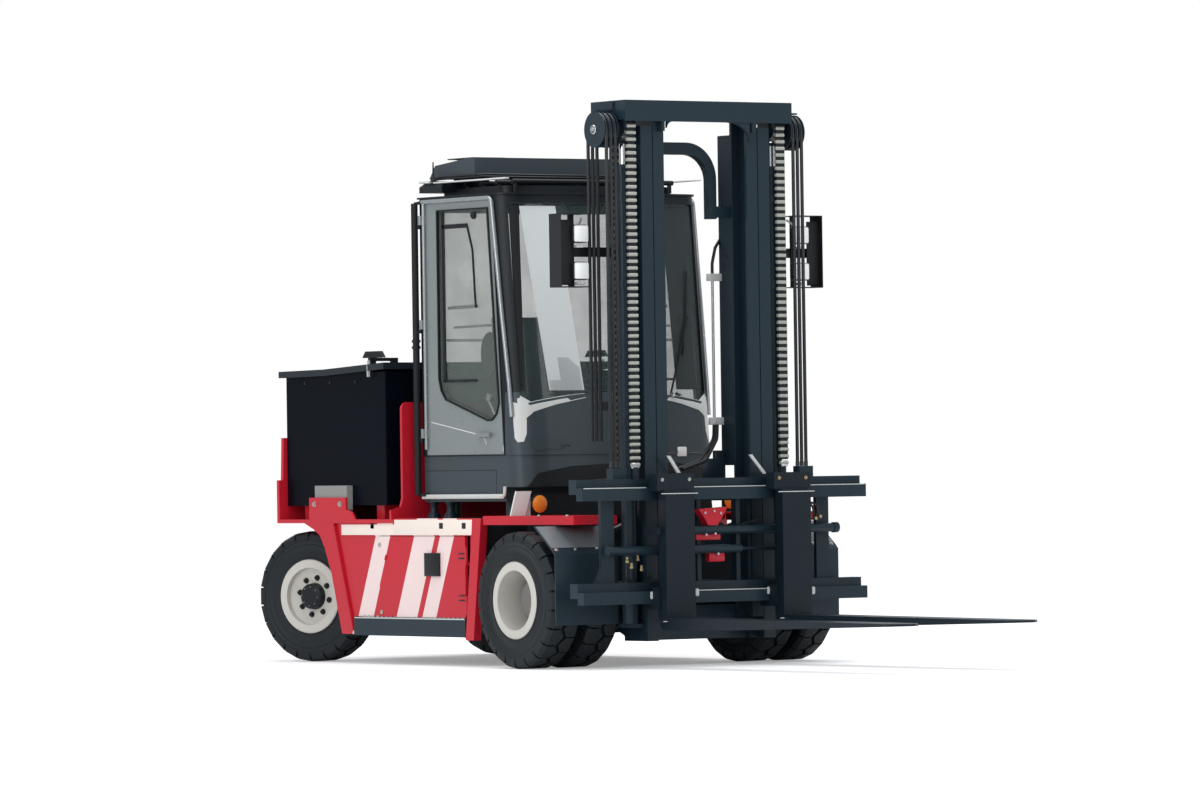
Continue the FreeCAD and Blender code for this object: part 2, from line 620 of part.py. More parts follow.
def counterweight():
    """Cast weight under the tray's tail, narrow between the steered wheels."""
    rear = COUNTERWEIGHT_REAR
    outline = [(-TAIL_HALF, COUNTERWEIGHT_FRONT), (TAIL_HALF, COUNTERWEIGHT_FRONT),
               (TAIL_HALF, rear - 20), (TAIL_HALF - 40, rear), (-TAIL_HALF + 40, rear),
               (-TAIL_HALF, rear - 20)]
    body = slab_z(outline, 330, TRAY_BOTTOM - SEAT)
    y = rear - 44
    pin = rod((0, y, 420), (0, y, 640), TOW_PIN_RADIUS)
    pin = pin.fuse(rod((0, y, 640), (0, y, 656), TOW_PIN_RADIUS + 10))
    mouth = block(-70, 70, y - 40, rear + 1, 480, 580)
    hole = rod((0, y, 400), (0, y, 640), TOW_PIN_RADIUS + RUN)
    hole = hole.fuse(block(-70, 70, y - 40, rear + 1, 640, 700))
    return [body.cut(mouth).cut(hole), pin]


def battery_box():
    """The traction battery: one heavy block in its steel case."""
    case = block(-BATTERY_HALF, BATTERY_HALF, BATTERY_FRONT, BATTERY_REAR, BATTERY_BOTTOM,
                 BATTERY_TOP)
    case = round_edges(case, 8, along((0, 0, 1)))
    lugs = []
    for x in LID_HINGES:
        lugs.append(disc_x(x - 20, x + 78, LID_HINGE_Y, LID_HINGE_Z, 8))
        lugs.append(block(x - 20, x - RUN, BATTERY_REAR - 1, LID_HINGE_Y + 10,
                          LID_HINGE_Z - 24, LID_HINGE_Z - 5))
        lugs.append(block(x - 20, x - RUN, LID_HINGE_Y - 10, LID_HINGE_Y + 10,
                          LID_HINGE_Z - 24, LID_HINGE_Z + 8))
    return fused([case] + lugs)


def battery_lid():
    """An overhanging lid with turned-down edges, rising to the front, and its handle."""
    front = BATTERY_FRONT - LID_OVERHANG
    rear = BATTERY_REAR + LID_OVERHANG - 4
    half = BATTERY_HALF + LID_OVERHANG
    bend = (front + rear) / 2.0 + 80
    low = BATTERY_TOP + SEAT
    skirt = [(rear, low - 22), (rear, low + LID_EDGE - 22), (bend, low + LID_EDGE - 16),
             (front, low + LID_EDGE + LID_RISE - 20), (front, low + LID_RISE - 20),
             (bend, low - 16)]
    body = slab_x(skirt, -half, half)
    case = block(-BATTERY_HALF - 4, BATTERY_HALF + 4, BATTERY_FRONT - 4, BATTERY_REAR + 4,
                 low - 60, low)
    body = body.cut(case)
    hy = BATTERY_FRONT + 300
    hz = low + LID_EDGE + 6
    hinge = []
    for x in LID_HINGES:
        hinge.append(ring_x(x, x + 80, LID_HINGE_Y, LID_HINGE_Z, 15, 8 + RUN))
        hinge.append(block(x, x + 80, rear - 4, LID_HINGE_Y - 10, LID_HINGE_Z + 2,
                           LID_HINGE_Z + 14))
    hole = disc_x(-1000, 1000, LID_HINGE_Y, LID_HINGE_Z, 8 + RUN)
    feet = [block(x, x + 44, hy - 15, hy + 15, low + 10, hz + 42) for x in (-825, -655)]
    grip = block(-825, -655 + 44, hy - 15, hy + 15, hz + 24, hz + 46)
    return fused([body, grip] + feet + hinge).cut(hole)


def side_steps():
    """A ribbed step on each side, below the hatch."""
    tread = block(HULL_HALF + SEAT, BODY_HALF, STEP_FRONT, STEP_REAR, STEP_BOTTOM, STEP_TOP)
    return pair(tread)


def hatch(side):
    """A side hatch on two hinges at its front edge, with a louvred vent."""
    x0 = HULL_HALF + SEAT
    x1 = BODY_HALF - 12
    leaf = block(x1 - HATCH_THICK, x1, HATCH_FRONT + 5, HATCH_REAR, HATCH_BOTTOM, HATCH_TOP)
    leaf = round_edges(leaf, 12, along((1, 0, 0)))
    vent = block(x1, x1 + 20, 1050, 1210, 572, 716)
    barrel = [pipe((x1, HATCH_FRONT - 8, z), (x1, HATCH_FRONT - 8, z + 96), 11, 6 + RUN)
              for z in HATCH_HINGES]
    tab = [block(x1 - 10, x1, HATCH_FRONT - 8, HATCH_FRONT + 20, z, z + 96)
           for z in HATCH_HINGES]
    lock = disc_x(x1 - 4, x1 + 8, HATCH_REAR - 70, 690, 18)
    hole = rod((x1, HATCH_FRONT - 8, 0), (x1, HATCH_FRONT - 8, 1000), 6 + RUN)
    whole = fused([leaf, vent, lock] + barrel + tab).cut(hole)
    return whole if side > 0 else mirrored(whole)


def front_fenders():
    """Wheel covers over the front twins: top strip, slanting flap and the panel below it."""
    t = FENDER_THICK
    inner = CYLINDER_X + BARREL_RADIUS + CLEAR
    wide = FRONT_OUTER_X + HALF_TYRE - 9
    front = FENDER_FRONT
    lip_z = FENDER_TOP - FENDER_LIP
    top = block(inner, FENDER_HALF, front, 560, FENDER_TOP - t, FENDER_TOP)
    foot = block(FRAME_HALF + SEAT, inner + 1, 240, 560, FENDER_TOP - t, FENDER_TOP)
    foot = foot.fuse(block(FRAME_HALF + SEAT, FRAME_HALF + t, 240, 560, BODY_TOP - 60,
                           FENDER_TOP))
    lip = block(FENDER_HALF - t, FENDER_HALF, front, 560, lip_z, FENDER_TOP)
    brow = block(inner, FENDER_HALF, front, front + t, lip_z, FENDER_TOP)
    flap = slab_x([(front, MUD_BOTTOM), (front, 712), (front + 21, 735), (front + 221, 890),
                   (front + 232, 884), (front + 28, 728), (front + t, 708),
                   (front + t, MUD_BOTTOM)], inner, wide)
    hanger = block(inner, FENDER_HALF - t, front + 216, front + 226, 884, FENDER_TOP - t + 1)
    return pair(fused([top, foot, lip, brow, flap, hanger]))


def front_lamps():
    """Side marker lamps by the cab base, each beside a pale leaning post."""
    foot = FENDER_TOP + SEAT
    edge = FENDER_HALF
    y = 250.0
    post = slab_y([(edge - 3, foot), (edge - 115, foot), (edge - 163, foot + 154),
                   (edge - 47, foot + 154)], y, y + 12)
    back = block(LAMP_X - 45, edge - 80, y + 12, y + 20, foot, foot + 118)
    lamp = rod((LAMP_X, y + 12 - SEAT, foot + 72), (LAMP_X, y - 24, foot + 72), LAMP_RADIUS)
    return [post.fuse(back), lamp]


# -------------------------------------------------------------------------- cab
def cab_plan(inset, nose, z):
    """The cab's outline in plan at a level: straight back, rounded front corners."""
    half = CAB_HALF - inset
    front = nose + inset
    rear = CAB_REAR - inset
    r = CAB_CORNER - inset * 0.5
    bulge = 60.0
    p = [V(half, rear, z), V(half, front + bulge + r, z),
         V(half - r * 0.29, front + bulge + r * 0.29, z), V(half - r, front + bulge * 0.86, z)]
    q = [V(-a.x, a.y, a.z) for a in p]
    edges = [Part.LineSegment(q[0], p[0]).toShape(), Part.LineSegment(p[0], p[1]).toShape(),
             Part.Arc(p[1], p[2], p[3]).toShape(),
             Part.Arc(p[3], V(0, front, z), q[3]).toShape(),
             Part.Arc(q[3], q[2], q[1]).toShape(), Part.LineSegment(q[1], q[0]).toShape()]
    return Part.Wire(edges)


def nose_at(z):
    share = (z - CAB_WAIST) / (CAB_EAVES - CAB_WAIST)
    return CAB_NOSE_LOW + share * (CAB_NOSE_HIGH - CAB_NOSE_LOW)


def cab_body(inset, z0, z1):
    return Part.makeLoft([cab_plan(inset, nose_at(z), z) for z in (z0, z1)], True, True)


def cab_shell(inset, thick, z0, z1):
    return cab_body(inset, z0, z1).cut(cab_body(inset + thick, z0 - 10, z1 + 10))


def door_outline(grow=0.0):
    """The door's outline in Y and Z; grow moves each edge outwards."""
    return [(CAB_REAR - 46 + grow, CAB_WAIST + 4 - grow),
            (CAB_REAR - 46 + grow, CAB_EAVES - 10 + grow),
            (DOOR_FRONT_HIGH - grow, CAB_EAVES - 10 + grow),
            (DOOR_FRONT_LOW - grow, CAB_WAIST + 4 - grow)]


def window_outline(grow=0.0):
    """The door's window: rounded at the rear, with a low chin near its front edge."""
    rear = CAB_REAR - 206 + grow
    low = DOOR_FRONT_LOW
    return [(rear, 2905 + grow), (rear, 1830), (rear - 22, 1756 - grow * 0.5),
            (rear - 72, 1696 - grow), (low + 185, 1556 - grow), (low + 130, 1560 - grow),
            (low + 80 - grow * 0.7, 1598 - grow * 0.7), (low + 52 - grow, 1665),
            (DOOR_FRONT_HIGH + 44 - grow, 2905 + grow)]


def cab_frame():
    """Cab shell above the waist: pillars and rails, with doors and glass cut out."""
    shell = cab_shell(0, CAB_SKIN, CAB_WAIST + SEAT, CAB_EAVES)
    doorway = slab_x(door_outline(DOOR_GAP), -CAB_HALF - 50, CAB_HALF + 50)
    doorway = doorway.cut(block(-CAB_HALF + 90, CAB_HALF - 90, -2000, 4000, 0, 4000))
    screen = screen_zone(0)
    back = slab_y([(-CAB_HALF + 90, 1500), (CAB_HALF - 90, 1500), (CAB_HALF - 90, 2900),
                   (-CAB_HALF + 90, 2900)], CAB_REAR - 80, CAB_REAR + 10)
    nose = block(-CAB_HALF - 10, CAB_HALF + 10, 0, DOOR_FRONT_LOW - DOOR_GAP, CAB_WAIST,
                 SCREEN_BOTTOM + SCREEN_ARCH + 1)
    body = shell.cut(doorway).cut(screen).cut(back).cut(nose)
    return fused([body] + [p for z in DOOR_HINGES for p in pair(door_hinge(z, False))])


def door_hinge(z, moving):
    """Half of a door hinge: the pillar's lug and pin, or the door's ring and tab."""
    x, y = CAB_HALF + 15, DOOR_HINGE_Y
    if moving:
        ring = pipe((x, y, z), (x, y, z + 60), 14, 8 + RUN)
        tab = block(CAB_HALF - 4, x, y - 44, y - 22, z, z + 60)
        arm = block(CAB_HALF + 1, x, y - 44, y - 8, z, z + 60)
        return fused([ring, tab, arm]).cut(rod((x, y, z - 1), (x, y, z + 61), 8 + RUN))
    lug = block(CAB_HALF - 6, x + 12, y - 8, y + 22, z - 26, z - RUN)
    return fused([lug, rod((x, y, z - 26), (x, y, z + 58), 8)])


def screen_zone(shrink):
    """The space of the windscreen, between the pillars and over the cowl's arch."""
    half = CAB_HALF - 60 - shrink
    low = SCREEN_BOTTOM + shrink
    arch = [V(-half, 0, low), V(0, 0, low + SCREEN_ARCH), V(half, 0, low)]
    top = CAB_EAVES - 55 - shrink
    edges = [Part.Arc(*arch).toShape(), Part.LineSegment(arch[2], V(half, 0, top)).toShape(),
             Part.LineSegment(V(half, 0, top), V(-half, 0, top)).toShape(),
             Part.LineSegment(V(-half, 0, top), arch[0]).toShape()]
    face = Part.Face(Part.Wire(edges))
    return face.extrude(V(0, CAB_REAR - 200, 0)).translated(V(0, 0, 0))


def cab_glass():
    """Windscreen and rear window."""
    screen = cab_shell(12, GLASS, CAB_WAIST + 2, CAB_EAVES).common(screen_zone(SEAT))
    screen = screen.common(block(-CAB_HALF, CAB_HALF, 0, 1000, 0, 4000))
    back = block(-CAB_HALF + 90 + SEAT, CAB_HALF - 90 - SEAT, CAB_REAR - 24, CAB_REAR - 16,
                 1500 + SEAT, 2900 - SEAT)
    return [screen, back]


def cab_cowl():
    """The bulging panel under the windscreen, open inside."""
    low = CAB_WAIST + SEAT
    high = SCREEN_BOTTOM + SCREEN_ARCH + 1
    shell = cab_shell(0, 14, low, high)
    front = block(-CAB_HALF - 10, CAB_HALF + 10, 0, DOOR_FRONT_LOW - DOOR_GAP - 1, low, high)
    return shell.common(front).cut(screen_zone(-2))


def cab_base():
    """The cab's foot: a grey tub under the doors, with its floor and rubber mounts."""
    low = CAB_BASE_BOTTOM
    tub = cab_shell(8, 14, low + 90, CAB_WAIST).common(
        block(-CAB_HALF, CAB_HALF, 300, CAB_REAR, low, CAB_WAIST))
    skirt = block(-CAB_HALF + 8, CAB_HALF - 8, 560, CAB_REAR - 8, low, low + 90)
    skirt = skirt.cut(block(-CAB_HALF + 22, CAB_HALF - 22, 574, CAB_REAR - 22, low - 1,
                            low + 91))
    floor = cab_body(8, low + 90, low + 90 + FLOOR_THICK)
    mounts = []
    for y in (690, 1330):
        mounts += pair(rod((640, y, BODY_TOP + SEAT), (640, y, low + 92), 38))
    return fused([tub, skirt, floor] + mounts)


def cab_roof():
    """Roof slab with a raised rear cap, guard bars and their feet."""
    slab = cab_body(-12, CAB_EAVES + SEAT, CAB_EAVES + ROOF_LIP)
    slab = slab.fuse(cab_body(ROOF_INSET, CAB_EAVES + ROOF_LIP - 1, CAB_EAVES + ROOF_THICK))
    reach = CAB_HALF - ROOF_INSET - 36
    cap = block(-CAB_HALF, CAB_HALF, CAB_REAR - ROOF_CAP_LENGTH, CAB_REAR, CAB_EAVES + 40,
                ROOF_CAP_TOP)
    cap = cap.makeChamfer(34, [e for e in cap.Edges if e.BoundBox.ZMin > ROOF_CAP_TOP - 1])
    bars = []
    for y in (660, 840, 1020, 1200):
        bar = rod((-reach, y, 3072), (reach, y, 3072), 16)
        feet = [rod((x, y, CAB_EAVES + 20), (x, y, 3072), 14) for x in (24 - reach, 0, reach - 24)]
        bars += [bar] + feet
    stands = [block(x, x + 60, 1100, 1420, CAB_EAVES + 40, AIR_BOTTOM - SEAT)
              for x in (-560, 500)]
    return fused([slab, cap] + bars + stands)


def air_unit():
    """The roof-mounted cooling unit: a wide box with a wedge at its back."""
    body = slab_x([(AIR_FRONT, AIR_BOTTOM), (AIR_REAR + 70, AIR_BOTTOM),
                   (AIR_REAR, AIR_TOP - 36), (AIR_FRONT + 60, AIR_TOP), (AIR_FRONT, AIR_TOP)],
                  -AIR_HALF, AIR_HALF)
    return body


def door(side):
    """A cab door: a frame panel with its window cut out and a handle."""
    zone = slab_x(door_outline(), CAB_HALF - 40, CAB_HALF)
    hole = slab_x(window_outline(), CAB_HALF - 60, CAB_HALF + 10)
    leaf = zone.cut(hole)
    handle = block(CAB_HALF, CAB_HALF + 26, 700, 850, 1452, 1476)
    whole = fused([leaf, handle] + [door_hinge(z, True) for z in DOOR_HINGES])
    return whole if side > 0 else mirrored(whole)


def door_glass(side):
    pane = slab_x(window_outline(-SEAT), CAB_HALF - 24, CAB_HALF - 24 + GLASS)
    return pane if side > 0 else mirrored(pane)


def cab_interior():
    """Operator's seat, console and steering wheel."""
    floor = CAB_BASE_BOTTOM + 90 + FLOOR_THICK + SEAT
    base = block(-230, 230, 1000, 1380, floor, floor + 260)
    cushion = round_edges(block(-260, 260, 920, 1400, floor + 260, floor + 390), 40,
                          lambda e: e.BoundBox.ZMin > floor + 380)
    back = slab_x([(1300, floor + 380), (1420, floor + 380), (1470, floor + 1080),
                   (1370, floor + 1080)], -250, 250)
    column = slab_x([(600, floor), (700, floor), (830, floor + 560), (760, floor + 590)],
                    -50, 50)
    wheel = Part.makeTorus(170, 14, V(0, 800, floor + 590), V(0, -0.5, 0.86))
    spoke = Part.makeCylinder(40, 26, V(0, 800, floor + 570), V(0, -0.5, 0.86))
    bar = rod((-160, 800, floor + 588), (160, 800, floor + 588), 11)
    console = block(300, 420, 900, 1300, floor, floor + 560)
    return [fused([base, cushion, back]), fused([column, wheel, spoke, bar]), console]


# ------------------------------------------------------------------------- mast
def channel(outer, inner, foot, top):
    """A mast channel that opens towards the middle."""
    web = block(outer - WEB, outer, MAST_FACE, MAST_BACK, foot, top)
    front = block(inner, outer, MAST_FACE, MAST_FACE + FLANGE, foot, top)
    back = block(inner, outer, MAST_BACK - FLANGE, MAST_BACK, foot, top)
    return fused([web, front, back])


def mast_outer():
    """Outer mast: two channels, cross ties, feet with the pivot bores, tilt eyes."""
    side = channel(OUTER_HALF, OUTER_INNER, OUTER_FOOT, OUTER_TOP)
    foot = slab_x([(MAST_BACK - 1, OUTER_FOOT), (MAST_PIVOT_Y + 40, OUTER_FOOT + 60),
                   (MAST_PIVOT_Y + 72, MAST_PIVOT_Z), (MAST_PIVOT_Y + 40, MAST_PIVOT_Z + 66),
                   (MAST_BACK - 1, MAST_PIVOT_Z + 240)], OUTER_INNER + 8, OUTER_HALF)
    shoe = block(OUTER_HALF - 1, CYLINDER_X + BARREL_RADIUS, CYLINDER_Y - 50, CYLINDER_Y + 50,
                 BARREL_FOOT - 24, BARREL_FOOT - SEAT)
    clamps = []
    x, y = CYLINDER_X, CYLINDER_Y
    for z in (1500, 2360, 2900):
        arm = block(OUTER_HALF - 1, x, y - 22, y + 22, z, z + 50)
        band = rod((x, y, z), (x, y, z + 50), BARREL_RADIUS + 9)
        hole = rod((x, y, z - 1), (x, y, z + 51), BARREL_RADIUS + SEAT)
        clamps.append(arm.fuse(band).cut(hole))
    ty, tz = TILT_FRONT
    ears = []
    for x in (TILT_X - 44, TILT_X + 26):
        ears.append(slab_x([(MAST_BACK - 1, tz - 110), (ty + 30, tz - 30), (ty + 36, tz + 20),
                            (ty + 10, tz + 36), (MAST_BACK - 1, tz + 110)], x, x + 18))
    eye_pin = disc_x(TILT_X - 44, TILT_X + 44, ty, tz, TILT_PIN_RADIUS)
    levels = [(z0, z1, 26) for z0, z1 in MAST_TIES] + [(OUTER_FOOT, OUTER_FOOT + 210, 70)]
    reach = OUTER_INNER + CLEAR
    lugs = [block(reach, OUTER_HALF, MAST_BACK - 1, MAST_BACK + deep, z0, z1)
            for z0, z1, deep in levels]
    ties = [block(-reach + SEAT, reach - SEAT, MAST_BACK + CLEAR, MAST_BACK + deep, z0, z1)
            for z0, z1, deep in levels]
    hole = disc_x(OUTER_INNER - 100, OUTER_HALF + 200, MAST_PIVOT_Y, MAST_PIVOT_Z,
                  MAST_PIN_RADIUS + RUN)
    half = fused([side, foot, shoe] + clamps + ears + [eye_pin] + lugs).cut(hole)
    return pair(half) + pair(hose_guard()) + ties + [mast_arch()]


def hose_guard():
    """An angle behind a channel that shields the hoses."""
    low, high = GUARD_SPAN
    t = GUARD_THICK
    side = block(GUARD_INNER, GUARD_INNER + t, MAST_BACK + CLEAR, GUARD_BACK, low, high)
    back = block(GUARD_INNER, OUTER_HALF, GUARD_BACK - t, GUARD_BACK, low, high)
    seat = block(OUTER_HALF - t, OUTER_HALF, MAST_BACK + SEAT, GUARD_BACK, low, high)
    return fused([side, back, seat])


def mast_arch():
    """The arched tie between the columns, set back so that the forks can be seen."""
    t, r = 76.0, ARCH_BEND
    leg = 56.0
    y0 = MAST_BACK + CLEAR
    y1 = y0 + 60
    end = -GUARD_INNER + SEAT
    bend = ARCH_LEG - r
    top, low = ARCH_TOP, ARCH_LOW
    s = math.sqrt(0.5)

    def at(x, z):
        return V(x, y0, z)
    edges = [Part.LineSegment(at(end, top), at(bend, top)).toShape(),
             Part.Arc(at(bend, top), at(bend + r * s, top - r + r * s),
                      at(ARCH_LEG, top - r)).toShape(),
             Part.LineSegment(at(ARCH_LEG, top - r), at(ARCH_LEG, low)).toShape(),
             Part.LineSegment(at(ARCH_LEG, low), at(ARCH_LEG - leg, low)).toShape(),
             Part.LineSegment(at(ARCH_LEG - leg, low), at(ARCH_LEG - leg, top - r)).toShape(),
             Part.Arc(at(ARCH_LEG - leg, top - r),
                      at(bend + (r - leg) * s, top - r + (r - t) * s),
                      at(bend, top - t)).toShape(),
             Part.LineSegment(at(bend, top - t), at(end, top - t)).toShape(),
             Part.LineSegment(at(end, top - t), at(end, top)).toShape()]
    arch = Part.Face(Part.Wire(edges)).extrude(V(0, y1 - y0, 0))
    lug = block(ARCH_LEG - 1, GUARD_INNER - SEAT, y0, y1 - 20, low + 10, low + 80)
    return fused([arch, lug])


def lift_cylinders():
    """The two lift cylinders' barrels, with their glands and the chain anchors."""
    x, y = CYLINDER_X, CYLINDER_Y
    barrel = pipe((x, y, BARREL_FOOT), (x, y, BARREL_TOP), BARREL_RADIUS, BARREL_BORE)
    floor = rod((x, y, BARREL_FOOT), (x, y, BARREL_FOOT + 40), BARREL_RADIUS)
    gland = rod((x, y, BARREL_TOP - 50), (x, y, BARREL_TOP), BARREL_RADIUS + 6)
    hole = rod((x, y, BARREL_TOP - 60), (x, y, BARREL_TOP + 1), ROD_RADIUS + RUN)
    back = SHEAVE_Y + CHAIN_SEAT_RADIUS - SEAT
    anchor = block(x - 30, x + 30, y, back, BARREL_TOP - 130, BARREL_TOP - 80)
    anchor = anchor.cut(rod((x, y, BARREL_TOP - 200), (x, y, BARREL_TOP), BARREL_RADIUS - 2))
    return pair(fused([barrel, floor, gland.cut(hole), anchor]))


def mast_inner():
    """Inner mast: two channels under an open crossbeam, and their cross ties."""
    t = BEAM_PLATE
    side = channel(INNER_HALF, INNER_INNER, INNER_FOOT, BEAM_TOP - t - SEAT)
    face = slab_y([(-BEAM_HALF, BEAM_BOTTOM), (BEAM_HALF, BEAM_BOTTOM), (BEAM_HALF, BEAM_TOP),
                   (-BEAM_HALF, BEAM_TOP)], BEAM_FACE, BEAM_FACE + t)
    roof = block(-BEAM_HALF, BEAM_HALF, BEAM_FACE, BEAM_BACK, BEAM_TOP - t, BEAM_TOP)
    ends = pair(block(BEAM_HALF - 16, BEAM_HALF, BEAM_FACE, BEAM_BACK, BEAM_BOTTOM + 10,
                      BEAM_TOP))
    web = pair(block(INNER_HALF - 60, INNER_HALF - 40, BEAM_FACE, MAST_FACE - SEAT,
                     BEAM_BOTTOM - 60, BEAM_TOP - 2))
    reach = INNER_INNER - SEAT
    ties = [block(-reach, reach, MAST_BACK - FLANGE, MAST_BACK - 4, z0, z1)
            for z0, z1 in INNER_TIES]
    return pair(side) + [fused([face, roof] + ends + web)] + ties


def lift_rods():
    """The lift cylinders' rods, from inside the barrels to the crossbeam."""
    top = YOKE_BOTTOM - SEAT
    x, y = CYLINDER_X, CYLINDER_Y
    return pair(rod((x, y, ROD_FOOT), (x, y, top), ROD_RADIUS))


def mast_pulleys():
    """Chain sheaves under the crossbeam and hose pulleys at its ends."""
    half = CHAIN_WIDE / 2.0
    y, z = SHEAVE_Y, SHEAVE_Z
    sheave = [disc_x(CHAIN_X - half - 1, CHAIN_X + half + 1, y, z, CHAIN_SEAT_RADIUS - SEAT)]
    for x in (CHAIN_X - half - 7, CHAIN_X + half + 1):
        sheave.append(disc_x(x, x + 6, y, z, CHAIN_SEAT_RADIUS + 16))
    t = SHEAVE_CHEEK
    low_x = CHAIN_X - half - 8 - t
    high_x = CHAIN_X + half + 8 + t
    sheave.append(disc_x(low_x, high_x, y, z, 22))
    roof = BEAM_TOP - BEAM_PLATE - SEAT
    cheeks = [block(low_x, low_x + t, y - 40, y + 40, YOKE_BOTTOM, roof),
              block(high_x - t, high_x, y - 40, y + 40, YOKE_BOTTOM, roof),
              block(low_x, high_x, y - 40, y + 40, YOKE_BOTTOM, YOKE_BOTTOM + 20)]
    chain_side = fused(sheave + cheeks)
    py, pz = PULLEY_Y, PULLEY_Z
    wheel = [disc_x(PULLEY_INNER + 6, PULLEY_OUTER - 6, py, pz, PULLEY_RADIUS - 2 * HOSE_RADIUS)]
    step = (PULLEY_OUTER - PULLEY_INNER - 6) / HOSE_COUNT
    for k in range(HOSE_COUNT + 1):
        x = PULLEY_INNER + k * step
        wheel.append(disc_x(x, x + 6, py, pz, PULLEY_RADIUS))
    wheel.append(disc_x(BEAM_HALF + SEAT, PULLEY_OUTER + 14, py, pz, 20))
    arm = block(BEAM_HALF + SEAT, BEAM_HALF + 12, py - 30, py + 30, pz - 30, BEAM_TOP - 10)
    cap = block(BEAM_HALF + SEAT, PULLEY_OUTER + 6, py - 26, py + 26, BEAM_TOP - 66,
                BEAM_TOP - 56)
    return pair(chain_side) + pair(fused(wheel + [arm, cap]))


def strand(x, wide, thick, y, z, radius, front_end, back_end, round_section):
    """A belt over a pulley: down in front to one end and down behind to the other."""
    mid = radius + thick / 2.0
    if round_section:
        front = rod((x, y - mid, front_end), (x, y - mid, z), thick / 2.0)
        back = rod((x, y + mid, back_end), (x, y + mid, z), thick / 2.0)
        ring = Part.makeTorus(mid, thick / 2.0, V(x, y, z), V(1, 0, 0))
        over = ring.common(block(x - wide, x + wide, y - 400, y + 400, z, z + 400))
    else:
        half = wide / 2.0
        front = block(x - half, x + half, y - mid - thick / 2.0, y - mid + thick / 2.0,
                      front_end, z)
        back = block(x - half, x + half, y + mid - thick / 2.0, y + mid + thick / 2.0,
                     back_end, z)
        ring = ring_x(x - half, x + half, y, z, radius + thick, radius)
        over = ring.common(block(x - wide, x + wide, y - 400, y + 400, z, z + 400))
    return fused([front, over, back])


def lift_chains():
    """Leaf chains from the carriage over the sheaves and down behind the channels."""
    return pair(strand(CHAIN_X, CHAIN_WIDE, CHAIN_THICK, SHEAVE_Y, SHEAVE_Z, CHAIN_SEAT_RADIUS,
                       STRAND_END, TAIL_END, False))


def mast_hoses():
    """Three hoses on each side, from the carriage over the pulleys."""
    hoses = []
    step = (PULLEY_OUTER - PULLEY_INNER - 6) / HOSE_COUNT
    for k in range(HOSE_COUNT):
        x = PULLEY_INNER + 3 + (k + 0.5) * step
        hoses += pair(strand(x, 2 * HOSE_RADIUS, 2 * HOSE_RADIUS, PULLEY_Y, PULLEY_Z,
                             PULLEY_RADIUS - 2 * HOSE_RADIUS + SEAT, STRAND_END, TAIL_END, True))
    return hoses


def work_lights():
    """Lamp frames beside the mast, two lamps in each."""
    x0, x1 = 716.0, 1009.0
    y0, y1 = -436.0, -310.0
    z0, z1 = 2368.0, 2826.0
    t = 6.0
    frame = [block(x1 - t, x1, y0, y1, z0, z1), block(x0 + 80, x1, y0, y1, z0, z0 + t),
             block(x0 + 80, x1, y0, y1, z1 - t, z1)]
    back = block(OUTER_HALF + SEAT, x1, y1 - 12, y1, 2560, 2620)
    stay = block(OUTER_HALF + SEAT, OUTER_HALF + 12, MAST_BACK - 40, y1, 2540, 2640)
    post = block(836, 876, y1 - 20, y1 - 8, z0 + t, z1 - t)
    lamps = []
    for z in (2470, 2700):
        lamps.append(round_edges(block(800, 912, y0 + 8, y0 + 70, z - 56, z + 56), 16,
                                 along((0, 1, 0))))
        lamps.append(block(846, 866, y0 + 60, y1 - 10, z - 12, z + 12))
    return pair(fused(frame + [back, stay, post] + lamps))


# --------------------------------------------------------------- carriage and forks
def bar(span, face, back):
    return block(-BAR_HALF, BAR_HALF, face, back, span[0], span[1])


def carriage_frame():
    """Carriage: two rear bars, two front rails, side plates and the roller plates."""
    bars = [bar(UPPER_REAR, REAR_BAR_FACE, REAR_BAR_BACK),
            bar(LOWER_REAR, REAR_BAR_FACE, REAR_BAR_BACK),
            bar(UPPER_FRONT, FRONT_BAR_FACE, REAR_BAR_FACE + 1),
            bar(LOWER_FRONT, FRONT_BAR_FACE, REAR_BAR_FACE + 1)]
    lo, hi = SIDE_PLATE
    plate = slab_y([(lo, LOWER_REAR[0]), (hi + 46, LOWER_REAR[0]), (hi + 46, LOWER_REAR[1]),
                    (hi, LOWER_REAR[1] + 90), (hi, UPPER_REAR[0] + 10), (lo, UPPER_REAR[0] + 10)],
                   -636, -608)
    back = -430.0
    cheek = slab_x([(REAR_BAR_BACK - 1, LOWER_REAR[0]), (back, LOWER_REAR[0] + 40),
                    (back, UPPER_REAR[1] - 30), (REAR_BAR_BACK - 1, UPPER_REAR[1])],
                   ROLLER_PLATE_X - 26, ROLLER_PLATE_X)
    rollers = []
    middle = (MAST_FACE + MAST_BACK) / 2.0
    for z in (560, 1060):
        rollers.append(disc_x(ROLLER_PLATE_X - 2, INNER_HALF - WEB - CLEAR, middle, z,
                              ROLLER_RADIUS))
    anchor = block(CHAIN_X - 40, CHAIN_X + 40, REAR_BAR_BACK - 20, SHEAVE_Y - CHAIN_SEAT_RADIUS
                   + 10, UPPER_REAR[1] - 50, UPPER_REAR[1] - 4)
    stud = rod((CHAIN_X, SHEAVE_Y - CHAIN_SEAT_RADIUS - CHAIN_THICK / 2, UPPER_REAR[1] - 70),
               (CHAIN_X, SHEAVE_Y - CHAIN_SEAT_RADIUS - CHAIN_THICK / 2, STRAND_END - SEAT), 14)
    hose_y = PULLEY_Y - PULLEY_RADIUS + HOSE_RADIUS
    shelf = block(PULLEY_INNER, PULLEY_OUTER, REAR_BAR_BACK - 20, hose_y + 20,
                  UPPER_REAR[1] - 30, STRAND_END - SEAT)
    sides = pair(fused([plate, cheek, anchor, stud, shelf] + rollers))
    rib = [block(x - 15, x + 15, REAR_BAR_BACK - 60, REAR_BAR_BACK - 30, LOWER_REAR[0] + 10,
                 UPPER_REAR[1] - 10) for x in (-150, 150)]
    return fused(bars + sides + rib)


